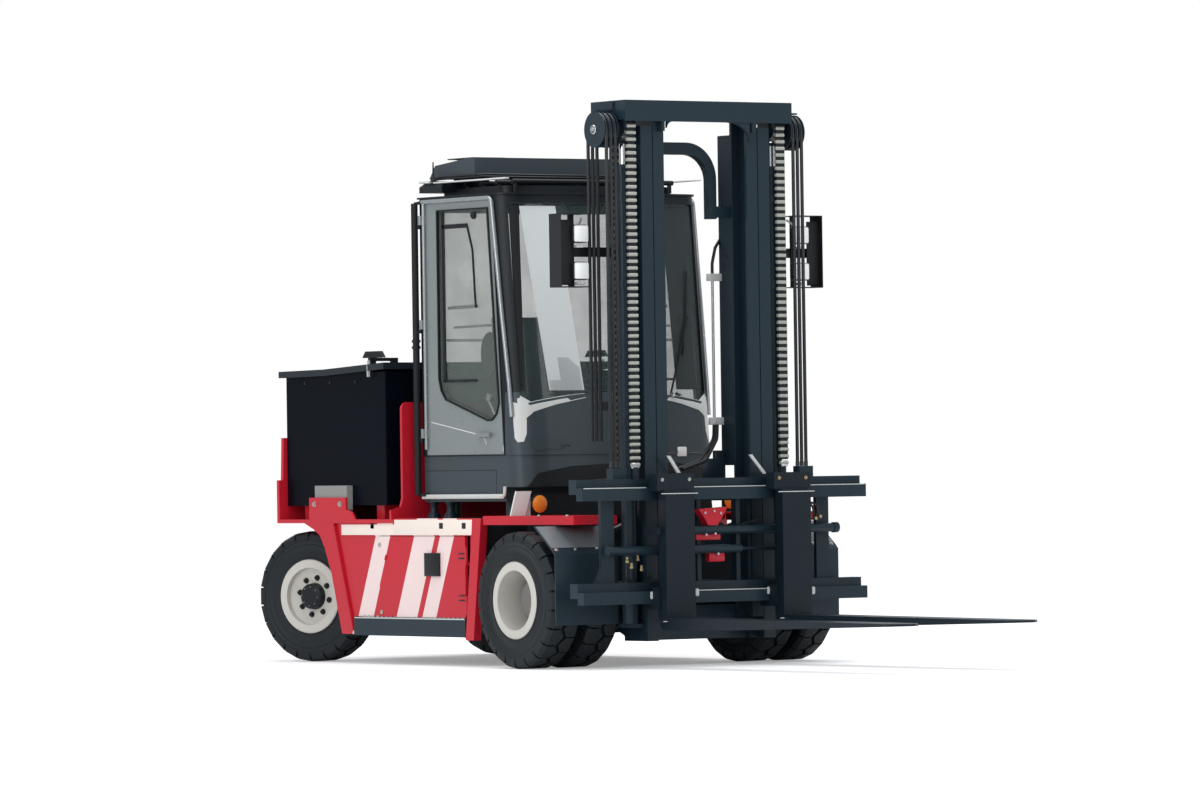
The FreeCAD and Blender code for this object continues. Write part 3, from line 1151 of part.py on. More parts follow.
def positioner():
    """Two cross cylinders behind the forks that set their spacing."""
    y = POSITIONER_Y
    z_high, z_low = POSITIONER_Z
    r = POSITIONER_RADIUS
    high = pipe((-330, y, z_high), (850, y, z_high), r, POSITIONER_ROD + RUN)
    high = high.fuse(rod((850, y, z_high), (884, y, z_high), r + 6))
    low = pipe((-850, y, z_low), (130, y, z_low), r, POSITIONER_ROD + RUN)
    low = low.fuse(rod((-884, y, z_low), (-850, y, z_low), r + 6))
    feet = []
    for x, z in ((826, z_high), (-826, z_low)):
        feet.append(block(x - 20, x + 20, y, -636 - SEAT, z - 22, z + 22))
    return [fused([high, feet[0]]), fused([low, feet[1]])]


def fork(side):
    """A fork: tapered blade, rounded heel, shank, hook and the lower guides."""
    half = FORK_WIDE / 2.0
    heel = 46.0
    back = FORK_FACE + FORK_THICK
    plate = FORK_FACE + HOOK_BACK
    bottom = FORK_TOP - FORK_THICK
    tip_z = FORK_TOP - 13 - FORK_TIP_THICK
    blade = slab_x([(back, HOOK_BOTTOM + 40), (back, bottom), (-1500, bottom + 6),
                    (FORK_TIP, tip_z), (FORK_TIP, tip_z + FORK_TIP_THICK),
                    (FORK_FACE, FORK_TOP), (FORK_FACE, HOOK_BOTTOM - 12),
                    (plate, HOOK_BOTTOM + 10), (plate + 5, HOOK_BOTTOM + 40)], -half, half)
    blade = blade.makeFillet(heel, [e for e in blade.Edges if along((1, 0, 0))(e)
                                    and abs(e.BoundBox.YMin - back) < 1
                                    and abs(e.BoundBox.ZMin - bottom) < 1])
    nose = 90.0
    trim = slab_z([(-half - 1, FORK_TIP - 1), (-half - 1, FORK_TIP + nose), (-half + nose,
                                                                              FORK_TIP - 1)],
                  0, 600)
    blade = blade.cut(trim).cut(mirrored(trim))
    hook = block(-HOOK_WIDE / 2, HOOK_WIDE / 2, plate, FRONT_BAR_FACE - SEAT,
                 HOOK_BOTTOM, HOOK_TOP)
    over = block(-HOOK_TONGUE / 2, HOOK_TONGUE / 2, FRONT_BAR_FACE - 2,
                 REAR_BAR_FACE - 2 * SEAT, UPPER_FRONT[1] + SEAT, HOOK_TOP - 30)
    guide = []
    for x in (-half - 18, half - 10):
        guide.append(block(x, x + 28, back - 20, FRONT_BAR_FACE - SEAT, LOWER_FRONT[0] - 30,
                           LOWER_FRONT[1] + 24))
        guide.append(block(x, x + 28, back - 20, REAR_BAR_FACE + 30, LOWER_FRONT[0] - 34,
                           LOWER_FRONT[0] - SEAT))
    rod_z = POSITIONER_Z[0] if side < 0 else POSITIONER_Z[1]
    reach = 800.0 if side < 0 else 1000.0
    outboard = 1 if side > 0 else -1
    lug_x = outboard * (half + 22)
    lug = block(lug_x - 16, lug_x + 16, back - 40, POSITIONER_Y + 18, rod_z - 24, rod_z + 24)
    arm = block(outboard * (half - 20), lug_x, back - 40, back - 6, rod_z - 24, rod_z + 24)
    inward = -outboard
    piston = rod((lug_x, POSITIONER_Y, rod_z), (lug_x + inward * reach, POSITIONER_Y, rod_z),
                 POSITIONER_ROD)
    whole = fused([blade, hook, over, lug, arm, piston] + guide)
    return whole.translated(V(side * FORK_X, 0, 0))


# ---------------------------------------------------------------- tilt cylinders
def tilt_way():
    y0, z0 = TILT_REAR
    y1, z1 = TILT_FRONT
    way = V(0, y1 - y0, z1 - z0)
    return V(0, y0, z0), way.normalize(), math.hypot(y1 - y0, z1 - z0)


def tilt_barrels():
    """The tilt cylinders' barrels with the eyes on the chassis pins."""
    eye, way, length = tilt_way()
    x = V(TILT_X, 0, 0)
    start = eye + x
    barrel = rod(tuple(start + way * 64), tuple(start + way * 400), TILT_BARREL_RADIUS)
    head = rod(tuple(start), tuple(start + way * 80), 24)
    ring = disc_x(TILT_X - 27, TILT_X + 27, eye.y, eye.z, 44)
    bore = disc_x(TILT_X - 60, TILT_X + 60, eye.y, eye.z, TILT_PIN_RADIUS + RUN)
    inside = rod(tuple(start + way * 120), tuple(start + way * 410), TILT_ROD_RADIUS + RUN)
    return pair(fused([barrel, head, ring]).cut(bore).cut(inside))


def tilt_rods():
    """Their rods with the eyes on the mast pins."""
    eye, way, length = tilt_way()
    start = eye + V(TILT_X, 0, 0)
    shaft = rod(tuple(start + way * 260), tuple(start + way * (length - 30)), TILT_ROD_RADIUS)
    ring = disc_x(TILT_X - 23, TILT_X + 23, TILT_FRONT[0], TILT_FRONT[1], 42)
    bore = disc_x(TILT_X - 60, TILT_X + 60, TILT_FRONT[0], TILT_FRONT[1], TILT_PIN_RADIUS + 6)
    return pair(fused([shaft, ring]).cut(bore))


# ---------------------------------------------------------------------- writing
def wheel_parts():
    made = {}
    for name, side in (("left", 1), ("right", -1)):
        twins = [tyre(FRONT_OUTER_X), tyre(FRONT_INNER_X)]
        rims = [front_rim()]
        if side < 0:
            twins = [mirrored(s) for s in twins]
            rims = [mirrored(s) for s in rims]
        made["front_tyres_" + name] = twins
        made["front_rims_" + name] = rims
        made["rear_tyre_" + name] = [steered(tyre(REAR_TYRE_X), side)]
        made["rear_rim_" + name] = [steered(rear_rim(), side)]
        made["knuckle_" + name] = [knuckle(side)]
        made["side_hatch_" + name] = [hatch(side)]
        made["cab_door_" + name] = [door(side)]
        made["door_glass_" + name] = [door_glass(side)]
        made["fork_" + name] = [fork(side)]
    return made


def all_parts():
    made = wheel_parts()
    made["chassis_frame"] = [chassis_frame()]
    made["body_sides"] = body_sides()
    made["battery_tray"] = [battery_tray()]
    made["battery_clamps"] = battery_clamps()
    made["counterweight"] = counterweight()
    made["battery_box"] = [battery_box()]
    made["battery_lid"] = [battery_lid()]
    made["side_steps"] = side_steps()
    made["front_fenders"] = front_fenders()
    made["front_lamps"] = front_lamps() + [mirrored(s) for s in front_lamps()]
    made["front_axle"] = [front_axle()]
    made["rear_axle"] = [rear_axle()]
    made["steering_rod"] = [steering_rod()]
    made["cab_base"] = [cab_base()]
    made["cab_frame"] = [cab_frame()]
    made["cab_cowl"] = [cab_cowl()]
    made["cab_glass"] = cab_glass()
    made["cab_roof"] = [cab_roof()]
    made["air_unit"] = [air_unit()]
    made["cab_interior"] = cab_interior()
    made["mast_outer"] = mast_outer()
    made["lift_cylinders"] = lift_cylinders()
    made["mast_inner"] = mast_inner()
    made["lift_rods"] = lift_rods()
    made["mast_pulleys"] = mast_pulleys()
    made["lift_chains"] = lift_chains()
    made["mast_hoses"] = mast_hoses()
    made["work_lights"] = work_lights()
    made["carriage_frame"] = [carriage_frame()]
    made["fork_positioner"] = positioner()
    made["tilt_barrels"] = tilt_barrels()
    made["tilt_rods"] = tilt_rods()
    return made


def write(name, solids):
    """Moves a piece to the truck's origin and writes its STEP file."""
    shape = solids[0] if len(solids) == 1 else Part.makeCompound(solids)
    shape.translate(V(0, FRONT_AXLE_Y, 0))
    shape.exportStep(os.path.join("parts", name + ".step"))
    valid = "" if shape.isValid() else "  NOT VALID"
    print(name, len(shape.Solids), "solids", round(shape.Volume / 1e6, 1), "litres", valid)


os.makedirs("parts", exist_ok=True)
for part_name, part_solids in all_parts().items():
    write(part_name, part_solids)
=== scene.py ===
"""Electric forklift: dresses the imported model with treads, chains, hoses, fittings and finishes.

Everything is in metres, in the model's own frame: +Z up, -Y the way the forks point.
"""

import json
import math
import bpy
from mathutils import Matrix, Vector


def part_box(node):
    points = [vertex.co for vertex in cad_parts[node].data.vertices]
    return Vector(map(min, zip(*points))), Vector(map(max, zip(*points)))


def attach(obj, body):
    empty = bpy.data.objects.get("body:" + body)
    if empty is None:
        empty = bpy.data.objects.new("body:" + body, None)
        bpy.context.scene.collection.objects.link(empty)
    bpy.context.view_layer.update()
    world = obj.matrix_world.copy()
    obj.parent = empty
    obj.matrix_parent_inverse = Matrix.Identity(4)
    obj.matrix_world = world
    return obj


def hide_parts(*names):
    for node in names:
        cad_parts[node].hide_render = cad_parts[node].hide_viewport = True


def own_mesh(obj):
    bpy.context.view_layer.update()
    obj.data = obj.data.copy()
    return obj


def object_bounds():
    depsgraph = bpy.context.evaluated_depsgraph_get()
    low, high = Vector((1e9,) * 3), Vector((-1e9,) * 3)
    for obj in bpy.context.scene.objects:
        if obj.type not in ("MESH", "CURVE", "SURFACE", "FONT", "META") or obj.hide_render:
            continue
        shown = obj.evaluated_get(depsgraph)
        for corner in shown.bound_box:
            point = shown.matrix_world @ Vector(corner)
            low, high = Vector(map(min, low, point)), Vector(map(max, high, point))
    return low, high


bl_info = {
    "name": "Electric Forklift Dresser",
    "version": (1, 0, 0),
    "blender": (4, 5, 0),
    "location": "View3D > Sidebar > Forklift",
    "description": "Adds treads, chains, hoses, fittings and finishes to the forklift",
    "category": "Object",
}

import bmesh
import bpy
from bpy.props import FloatProperty, FloatVectorProperty, IntProperty, PointerProperty
from mathutils import Matrix, Vector
from mathutils.bvhtree import BVHTree

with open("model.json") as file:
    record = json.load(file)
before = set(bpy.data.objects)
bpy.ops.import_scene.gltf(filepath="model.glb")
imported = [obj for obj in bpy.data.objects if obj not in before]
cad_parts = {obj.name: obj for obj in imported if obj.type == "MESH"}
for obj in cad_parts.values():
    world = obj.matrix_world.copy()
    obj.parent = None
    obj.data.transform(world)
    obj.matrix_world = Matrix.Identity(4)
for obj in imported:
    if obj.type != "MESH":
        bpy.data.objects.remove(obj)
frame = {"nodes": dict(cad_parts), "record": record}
CAD_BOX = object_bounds()
NODES = frame["nodes"]
JOINTS = {j["name"]: j for j in frame["record"]["behaviour"]["joints"]}
SIDES = (("right", -1), ("left", 1))
MM = 0.001


# ----------------------------------------------------------------- places in millimetres
def middle(packed):
    lo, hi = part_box(packed)
    return (lo + hi) / 2


AXLE = middle("front_rims_right")


def edges(packed):
    """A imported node's box: left and right, front and back, low and high, from the front axle."""
    lo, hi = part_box(packed)
    return ((lo.x / MM, hi.x / MM), ((lo.y - AXLE.y) / MM, (hi.y - AXLE.y) / MM),
            (lo.z / MM, hi.z / MM))


def at(x, y, z):
    """The place x across the truck, y behind the front axle and z above the ground."""
    return Vector((x * MM, AXLE.y + y * MM, z * MM))


def mirrored(side, points):
    """Places given for the left side, on the side asked for."""
    return [(side * x, y, z) for x, y, z in points]


# ----------------------------------------------------------------- mesh making
def circle(radius, sides):
    """Even points round a circle."""
    return [(radius * math.cos(2 * math.pi * k / sides), radius * math.sin(2 * math.pi * k / sides))
            for k in range(sides)]


def slab(bm, xs, ys, zs, bevel=0.0):
    """A box between pairs of limits, its edges rounded by bevel."""
    corners = at(xs[0], ys[0], zs[0]), at(xs[1], ys[1], zs[1])
    lo, hi = (Vector([pick(pair) for pair in zip(*corners)]) for pick in (min, max))
    verts = bmesh.ops.create_cube(bm, size=1.0)["verts"]
    bmesh.ops.scale(bm, vec=hi - lo, verts=verts)
    bmesh.ops.translate(bm, vec=(lo + hi) / 2, verts=verts)
    if bevel > 0:
        bmesh.ops.bevel(bm, geom=list({e for v in verts for e in v.link_edges}),
                        offset=bevel * MM, segments=2, affect="EDGES", profile=0.5)


def hull_in(bm, points):
    """The convex solid round some points."""
    made = bmesh.ops.convex_hull(bm, input=[bm.verts.new(p) for p in points])
    loose = [v for v in made["geom_interior"] if isinstance(v, bmesh.types.BMVert)]
    bmesh.ops.delete(bm, geom=loose, context="VERTS")


def sweep_in(bm, path, section, closed=False):
    """Carries a closed section of (across, up) points along a path, mitred at its corners."""
    count, n = len(path), len(section)
    rings, across = [], None
    for i, point in enumerate(path):
        before = path[i - 1] if (i or closed) else point
        after = path[(i + 1) % count] if (i < count - 1 or closed) else point
        way = (after - before).normalized()
        if across is None:
            across = way.cross(Vector((0, 0, 1) if abs(way.z) < 0.9 else (0, 1, 0))).normalized()
        across = (across - way * across.dot(way)).normalized()
        up = across.cross(way)
        mitre, bisector = 1.0, up
        if 0 < i < count - 1 or closed:
            one, two = (point - before).normalized(), (after - point).normalized()
            mitre = 1.0 / max(0.35, math.sqrt(max(0.0, (1 + one.dot(two)) / 2)))
            if mitre > 1.0001:
                bisector = (two - one).normalized()
        ring = []
        for a, b in section:
            offset = across * a + up * b
            if mitre > 1.0001:
                offset += bisector * offset.dot(bisector) * (mitre - 1.0)
            ring.append(bm.verts.new(point + offset))
        rings.append(ring)
    for one, two in list(zip(rings, rings[1:])) + ([(rings[-1], rings[0])] if closed else []):
        for k in range(n):
            bm.faces.new((one[k], one[(k + 1) % n], two[(k + 1) % n], two[k]))
    if not closed:
        bm.faces.new(list(reversed(rings[0])))
        bm.faces.new(rings[-1])


def bent(points, radius, steps=6):
    """The path through some points with each corner turned on an arc."""
    path = [points[0]]
    for a, b, c in zip(points, points[1:], points[2:]):
        one, two = (a - b), (c - b)
        angle = one.angle(two)
        if angle > math.pi - 0.02:
            path.append(b)
            continue
        cut = min(radius / math.tan(angle / 2), one.length * 0.45, two.length * 0.45)
        start, end = b + one.normalized() * cut, b + two.normalized() * cut
        for k in range(steps + 1):
            t = k / steps
            path.append((start * (1 - t) + b * t) * (1 - t) + (b * (1 - t) + end * t) * t)
    return path + [points[-1]]


def pipe(bm, points, radius, bend=0.0, sides=10):
    path = [at(*p) for p in points]
    sweep_in(bm, bent(path, bend * MM) if bend else path, circle(radius * MM, sides))


def plate(bm, outline, low, high, way="X"):
    """A plate whose outline is (y, z) across X or (x, z) across Y."""
    def place(a, b, t):
        return bm.verts.new(at(t, a, b) if way == "X" else at(a, t, b))
    one = [place(a, b, low) for a, b in outline]
    two = [place(a, b, high) for a, b in outline]
    bm.faces.new(one)
    bm.faces.new(list(reversed(two)))
    for k in range(len(outline)):
        j = (k + 1) % len(outline)
        bm.faces.new((one[j], one[k], two[k], two[j]))


def lathe_in(bm, profile, steps, way="X"):
    """Turns a closed profile of (along, radius) points about an axis through the origin."""
    rings = []
    for k in range(steps):
        a = 2 * math.pi * k / steps
        s, c = math.sin(a), math.cos(a)
        rings.append([bm.verts.new({"X": (along, r * s, r * c), "Y": (r * c, along, r * s),
                                    "Z": (r * c, r * s, along)}[way]) for along, r in profile])
    n = len(profile)
    for one, two in zip(rings, rings[1:] + rings[:1]):
        for i in range(n):
            j = (i + 1) % n
            bm.faces.new((one[i], one[j], two[j], two[i]))
    bmesh.ops.remove_doubles(bm, verts=bm.verts[:], dist=1e-6)


def turned(bm, centre, profile, way="X", steps=28):
    """A lathed shape of (along, radius) points in millimetres round a centre."""
    before = set(bm.verts)
    lathe_in(bm, [(a * MM, r * MM) for a, r in profile], steps, way)
    bmesh.ops.translate(bm, vec=at(*centre), verts=[v for v in bm.verts if v not in before])


def outline_of(packed, side):
    """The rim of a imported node's outer flat face, in order, as (y, z) in millimetres."""
    mesh = NODES[packed].data
    count = {}
    for face in mesh.polygons:
        if face.normal.x * side < 0.95:
            continue
        ring = [tuple(round(c, 5) for c in mesh.vertices[v].co) for v in face.vertices]
        for pair in zip(ring, ring[1:] + ring[:1]):
            key = frozenset(pair)
            count[key] = count.get(key, 0) + 1
    after = {}
    for key, times in count.items():
        if times == 1:
            a, b = key
            after.setdefault(a, []).append(b)
            after.setdefault(b, []).append(a)
    start = max(after, key=lambda p: p[2])
    path, last, here = [], None, start
    while not path or here != start:
        path.append(here)
        last, here = here, [p for p in after[here] if p != last][0]
    return [((p[1] - AXLE.y) / MM, p[2] / MM) for p in path]


def strip_on(bm, packed, one, two, lift, steps):
    """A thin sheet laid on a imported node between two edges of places, thick by lift."""
    mesh = NODES[packed].data
    tree = BVHTree.FromPolygons([v.co for v in mesh.vertices],
                                [tuple(f.vertices) for f in mesh.polygons])

    def spread(points):
        points = [at(*p) for p in points]
        return [a.lerp(b, k / steps) for a, b in zip(points, points[1:])
                for k in range(steps)] + [points[-1]]

    low, high = [], []
    for a, b in zip(spread(one), spread(two)):
        low.append([])
        high.append([])
        for k in range(4):
            place, way, _, _ = tree.find_nearest(a.lerp(b, k / 3))
            if way.y > 0.3:
                way = -way
            low[-1].append(bm.verts.new(place - way * 0.001))
            high[-1].append(bm.verts.new(place + way * lift * MM))
    last = len(low) - 1
    for i in range(last):
        for k in range(3):
            bm.faces.new((high[i][k], high[i + 1][k], high[i + 1][k + 1], high[i][k + 1]))
            bm.faces.new((low[i][k + 1], low[i + 1][k + 1], low[i + 1][k], low[i][k]))
        for k in (0, 3):
            bm.faces.new((low[i][k], low[i + 1][k], high[i + 1][k], high[i][k]))
    for i in (0, last):
        for k in range(3):
            bm.faces.new((low[i][k], low[i][k + 1], high[i][k + 1], high[i][k]))


# ----------------------------------------------------------------- pieces
def add(name, data):
    obj = bpy.data.objects.new(name, data)
    bpy.context.scene.collection.objects.link(obj)
    return obj


def throw_away(*objs):
    for obj in objs:
        bpy.data.objects.remove(obj)


def shape(name, fill, smooth=0, move=None):
    """An object from a function that fills a bmesh, smooth where faces meet below an angle."""
    bm = bmesh.new()
    fill(bm)
    bmesh.ops.remove_doubles(bm, verts=bm.verts[:], dist=1e-6)
    bmesh.ops.recalc_face_normals(bm, faces=bm.faces[:])
    if move is not None:
        bmesh.ops.transform(bm, matrix=move, verts=bm.verts[:])
    if smooth:
        bm.normal_update()
        for face in bm.faces:
            face.smooth = True
        for edge in bm.edges:
            edge.smooth = (len(edge.link_faces) == 2
                           and edge.calc_face_angle(0.0) < math.radians(smooth))
    mesh = bpy.data.meshes.new(name)
    bm.to_mesh(mesh)
    bm.free()
    return add(name, mesh)


def seat(obj, body, finish=None):
    """Sets a piece to ride on its body and its finish."""
    if finish:
        obj.data.materials.clear()
        obj.data.materials.append(PAINTS[finish])
    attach(obj, body)
    return obj


def piece(name, body, finish):
    """Makes a seated piece, at once, of the function that stands below."""
    return lambda fill: seat(shape(name, fill, 40), body, finish)


def joined(name, objs):
    """One object from several plain ones."""
    bm = bmesh.new()
    for obj in objs:
        bm.from_mesh(obj.data)
    mesh = bpy.data.meshes.new(name)
    bm.to_mesh(mesh)
    bm.free()
    mesh.materials.append(objs[0].data.materials[0])
    throw_away(*objs)
    return add(name, mesh)


# ----------------------------------------------------------------- nodes
def node(tree, kind, values=None, **settings):
    """Adds a node; values go to sockets by name or number, as numbers, colours or links."""
    made = tree.nodes.new(kind)
    for key, value in settings.items():
        setattr(made, key, value)
    for key, value in (values or {}).items():
        if isinstance(value, bpy.types.NodeSocket):
            tree.links.new(value, made.inputs[key])
        else:
            made.inputs[key].default_value = value
    return made


def new_group(name, kind, ins, outs):
    """An empty node group and the sockets it is given."""
    tree = bpy.data.node_groups.new(name, kind)
    for label, what, *value in ins:
        socket = tree.interface.new_socket(label, in_out="INPUT", socket_type="NodeSocket" + what)
        if value:
            socket.default_value = value[0]
    for label, what in outs:
        tree.interface.new_socket(label, in_out="OUTPUT", socket_type="NodeSocket" + what)
    return tree, tree.nodes.new("NodeGroupInput").outputs


PATTERNS = {
    "ring": ("Ring of Copies", (("Count", "Int"), ("Step", "Float"), ("First", "Float"))),
    "row": ("Row of Copies", (("Count", "Int"), ("Start", "Vector"), ("Step", "Vector"))),
    "places": ("Copies on Places", (("Size", "Float"),)),
}
TREES = {}


def pattern_tree(kind):
    """Copies round the X axis, along a line, or on points turned by their own attribute."""
    title, own = PATTERNS[kind]
    tree, given = new_group(title, "GeometryNodeTree", (
        ("Geometry", "Geometry"), ("Copy", "Object"), *own, ("Material", "Material")),
        (("Geometry", "Geometry"),))
    tree.is_modifier = True
    info = node(tree, "GeometryNodeObjectInfo", {"Object": given["Copy"]})
    ports = {"Instance": info.outputs["Geometry"]}
    if kind == "places":
        turn = node(tree, "GeometryNodeInputNamedAttribute", {"Name": "turn"},
                    data_type="FLOAT_VECTOR")
        ports.update({"Points": given["Geometry"], "Rotation": turn.outputs["Attribute"],
                      "Scale": given["Size"]})
    else:
        index = node(tree, "GeometryNodeInputIndex").outputs[0]
        points = {"Count": given["Count"]}
        if kind == "ring":
            angle = maths(tree, "MULTIPLY_ADD", index, given["Step"], given["First"])
            ports["Rotation"] = node(tree, "ShaderNodeCombineXYZ", {"X": angle}).outputs[0]
        else:
            points["Position"] = node(
                tree, "ShaderNodeVectorMath", {0: given["Step"], 1: index, 2: given["Start"]},
                operation="MULTIPLY_ADD").outputs[0]
        ports["Points"] = node(tree, "GeometryNodePoints", points).outputs[0]
    spread = node(tree, "GeometryNodeInstanceOnPoints", ports)
    real = node(tree, "GeometryNodeRealizeInstances", {"Geometry": spread.outputs[0]})
    coated = node(tree, "GeometryNodeSetMaterial", {"Geometry": real.outputs[0],
                                                    "Material": given["Material"]})
    node(tree, "NodeGroupOutput", {"Geometry": coated.outputs[0]})
    return tree


def pattern(kind, name, inputs, finish, base=None, move=None):
    """Runs a pattern tree, throws its copy away and returns a plain mesh object."""
    if kind not in TREES:
        TREES[kind] = pattern_tree(kind)
    inputs["Material"] = PAINTS[finish]
    seed = add(name + "_seed", base or bpy.data.meshes.new(name + "_seed"))
    modifier = seed.modifiers.new("Pattern", "NODES")
    modifier.node_group = TREES[kind]
    for item in TREES[kind].interface.items_tree:
        if item.in_out == "INPUT" and item.name in inputs:
            modifier[item.identifier] = inputs[item.name]
    view = bpy.context.evaluated_depsgraph_get()
    made = bpy.data.meshes.new_from_object(seed.evaluated_get(view), depsgraph=view)
    made.name = name
    seed.modifiers.remove(modifier)
    throw_away(seed, inputs["Copy"])
    if move is not None:
        made.transform(move)
    return add(name, made)


def row_of(name, seed, count, start, step, finish, body):
    """Copies of a seed along a line, seated as one piece."""
    return seat(pattern("row", name, {"Copy": seed, "Count": count,
                                      "Start": [c * MM for c in start],
                                      "Step": [c * MM for c in step]}, finish), body)


TURNS = {"+X": (0, math.pi / 2, 0), "-X": (0, -math.pi / 2, 0), "-Y": (math.pi / 2, 0, 0),
         "+Z": (0, 0, 0)}


def bolts(name, places, body, finish, across, high):
    """Bolt heads at (x, y, z, facing) places, where facing is a name or a turn."""
    mesh = bpy.data.meshes.new(name + "_places")
    mesh.from_pydata([at(*p[:3]) for p in places], [], [])
    turn = mesh.attributes.new("turn", "FLOAT_VECTOR", "POINT")
    for k, p in enumerate(places):
        turn.data[k].vector = TURNS.get(p[3], p[3])

    def head(bm):
        r = across * MM / 2 / math.cos(math.pi / 6)
        base, rim = 0.0016, circle(r, 6)
        top = base + high * MM
        hull_in(bm, [(x, y, base) for x, y in rim] + [(x, y, top - 0.001) for x, y in rim]
                + [(x * 0.84, y * 0.84, top) for x, y in rim])
        hull_in(bm, [(x, y, z) for z in (-0.001, base) for x, y in circle(r * 1.35, 16)])
    return seat(pattern("places", name, {"Copy": shape("bolt_seed", head), "Size": 1.0}, finish,
                        base=mesh), body)


# ----------------------------------------------------------------- finishes
def maths(tree, kind, *values):
    """One sum on numbers or sockets."""
    return node(tree, "ShaderNodeMath", dict(enumerate(values)), operation=kind).outputs[0]


def noise(tree, place, scale, detail, rough):
    return node(tree, "ShaderNodeTexNoise", {"Vector": place, "Scale": scale, "Detail": detail,
                                             "Roughness": rough}).outputs["Fac"]


def ramp(tree, value, low, high, to_low=0.0, to_high=1.0):
    return node(tree, "ShaderNodeMapRange", {"Value": value, "From Min": low, "From Max": high,
                                             "To Min": to_low, "To Max": to_high}).outputs[0]


def mixed(tree, factor, one, two):
    return node(tree, "ShaderNodeMix", {0: factor, 6: one, 7: two}, data_type="RGBA").outputs[2]


def here(tree):
    """The object's own coordinates, so that a finish stays with its piece."""
    return node(tree, "ShaderNodeTexCoord").outputs["Object"]


def axes(tree, place):
    return node(tree, "ShaderNodeSeparateXYZ", {0: place}).outputs


def weather_group():
    """Dust towards the ground, faint colour drift and a fine uneven gloss."""
    tree, given = new_group("Weather", "ShaderNodeTree", (
        ("Colour", "Color", (0.5, 0.5, 0.5, 1)), ("Dust Colour", "Color", (0.30, 0.28, 0.24, 1)),
        ("Dust", "Float", 0.15), ("Drift", "Float", 0.12), ("Roughness", "Float", 0.35),
        ("Grain", "Float", 90.0)), (("Colour", "Color"), ("Roughness", "Float"),
                                    ("Height", "Float")))
    place = here(tree)
    low = ramp(tree, axes(tree, place)["Z"], 1.0, 0.1, 0.35, 1.0)
    broad = noise(tree, place, 2.3, 6.0, 0.65)
    fine = noise(tree, place, 34.0, 5.0, 0.7)
    patch = maths(tree, "MULTIPLY", ramp(tree, broad, 0.35, 0.72), low)
    speck = ramp(tree, fine, 0.52, 0.74, 0.25, 1.0)
    dust = maths(tree, "MULTIPLY", maths(tree, "MULTIPLY", patch, speck), given["Dust"])
    drift = maths(tree, "MULTIPLY", ramp(tree, broad, 0.25, 0.75), given["Drift"])
    dark = node(tree, "ShaderNodeHueSaturation", {"Value": 0.72, "Color": given["Colour"]})
    base = mixed(tree, drift, given["Colour"], dark.outputs["Color"])
    rough = maths(tree, "ADD", given["Roughness"], maths(tree, "MULTIPLY", dust, 0.6))
    node(tree, "NodeGroupOutput", {
        "Colour": mixed(tree, dust, base, given["Dust Colour"]),
        "Roughness": maths(tree, "ADD", rough, ramp(tree, fine, 0.3, 0.7, -0.035, 0.05)),
        "Height": noise(tree, place, given["Grain"], 3.0, 0.6)})
    return tree


def hub_group():
    """The distance of a point from an axle that lies level, turned by an angle about Z."""
    tree, given = new_group("Axle Distance", "ShaderNodeTree", (
        ("Place", "Vector", (0, 0, 0)), ("Turn", "Float", 0.0)),
        (("Distance", "Float"), ("Along", "Float")))
    away = node(tree, "ShaderNodeVectorMath", {0: here(tree), 1: given["Place"]},
                operation="SUBTRACT")
    split = axes(tree, node(tree, "ShaderNodeVectorRotate", {
        "Vector": away.outputs[0], "Angle": given["Turn"]}, rotation_type="Z_AXIS").outputs[0])
    square = maths(tree, "ADD", *(maths(tree, "MULTIPLY", split[a], split[a]) for a in "YZ"))
    node(tree, "NodeGroupOutput", {"Distance": maths(tree, "SQRT", square),
                                   "Along": split["X"]})
    return tree


GROUPS = {}


def group_node(tree, maker, values):
    if maker not in GROUPS:
        GROUPS[maker] = maker()
    return node(tree, "ShaderNodeGroup", values, node_tree=GROUPS[maker]).outputs


def blank(name):
    material = bpy.data.materials.new(name)
    material.use_nodes = True
    material.node_tree.nodes.clear()
    return material, material.node_tree


def surface(tree, values):
    shader = node(tree, "ShaderNodeBsdfPrincipled", values)
    node(tree, "ShaderNodeOutputMaterial", {"Surface": shader.outputs[0]})


def solid(colour):
    return tuple(colour) + (1,)


def paint(name, colour, rough=0.35, dust=0.15, drift=0.12, metal=0.0, coat=0.0, bump=0.02,
          grain=90.0, dust_colour=(0.22, 0.25, 0.27), shine=0.25, mask=None, second=None):
    """A weathered finish; mask may lay a second colour over part of it."""
    material, tree = blank(name)
    base = mixed(tree, mask(tree), solid(colour), solid(second)) if mask else solid(colour)
    weather = group_node(tree, weather_group, {
        "Colour": base, "Dust": dust, "Drift": drift, "Roughness": rough, "Grain": grain,
        "Dust Colour": solid(dust_colour)})
    height = node(tree, "ShaderNodeBump", {"Strength": bump, "Distance": 0.002,
                                           "Height": weather["Height"]})
    surface(tree, {"Base Color": weather["Colour"], "Roughness": weather["Roughness"],
                   "Metallic": metal, "Specular IOR Level": shine, "Coat Weight": coat,
                   "Coat Roughness": 0.08, "Normal": height.outputs["Normal"]})
    return material


def pane(name, colour, alpha):
    """Tinted cab glass: seen through, with its own gloss and a faint uneven film."""
    material, tree = blank(name)
    film = noise(tree, here(tree), 3.1, 4.0, 0.6)
    surface(tree, {"Base Color": mixed(tree, ramp(tree, film, 0.35, 0.7, 0.0, 0.5), solid(colour),
                                       solid(c * 0.7 for c in colour)),
                   "Roughness": ramp(tree, film, 0.3, 0.7, 0.03, 0.08),
                   "Alpha": ramp(tree, film, 0.35, 0.7, alpha - 0.04, alpha + 0.06),
                   "Specular IOR Level": 0.8})
    return material


def hub_mask(place, turn, radius):
    """A mask that is 1 within a radius of an axle."""
    def mask(tree):
        hub = group_node(tree, hub_group, {"Place": place, "Turn": turn})
        return ramp(tree, hub["Distance"], radius + 0.0005, radius - 0.0005)
    return mask


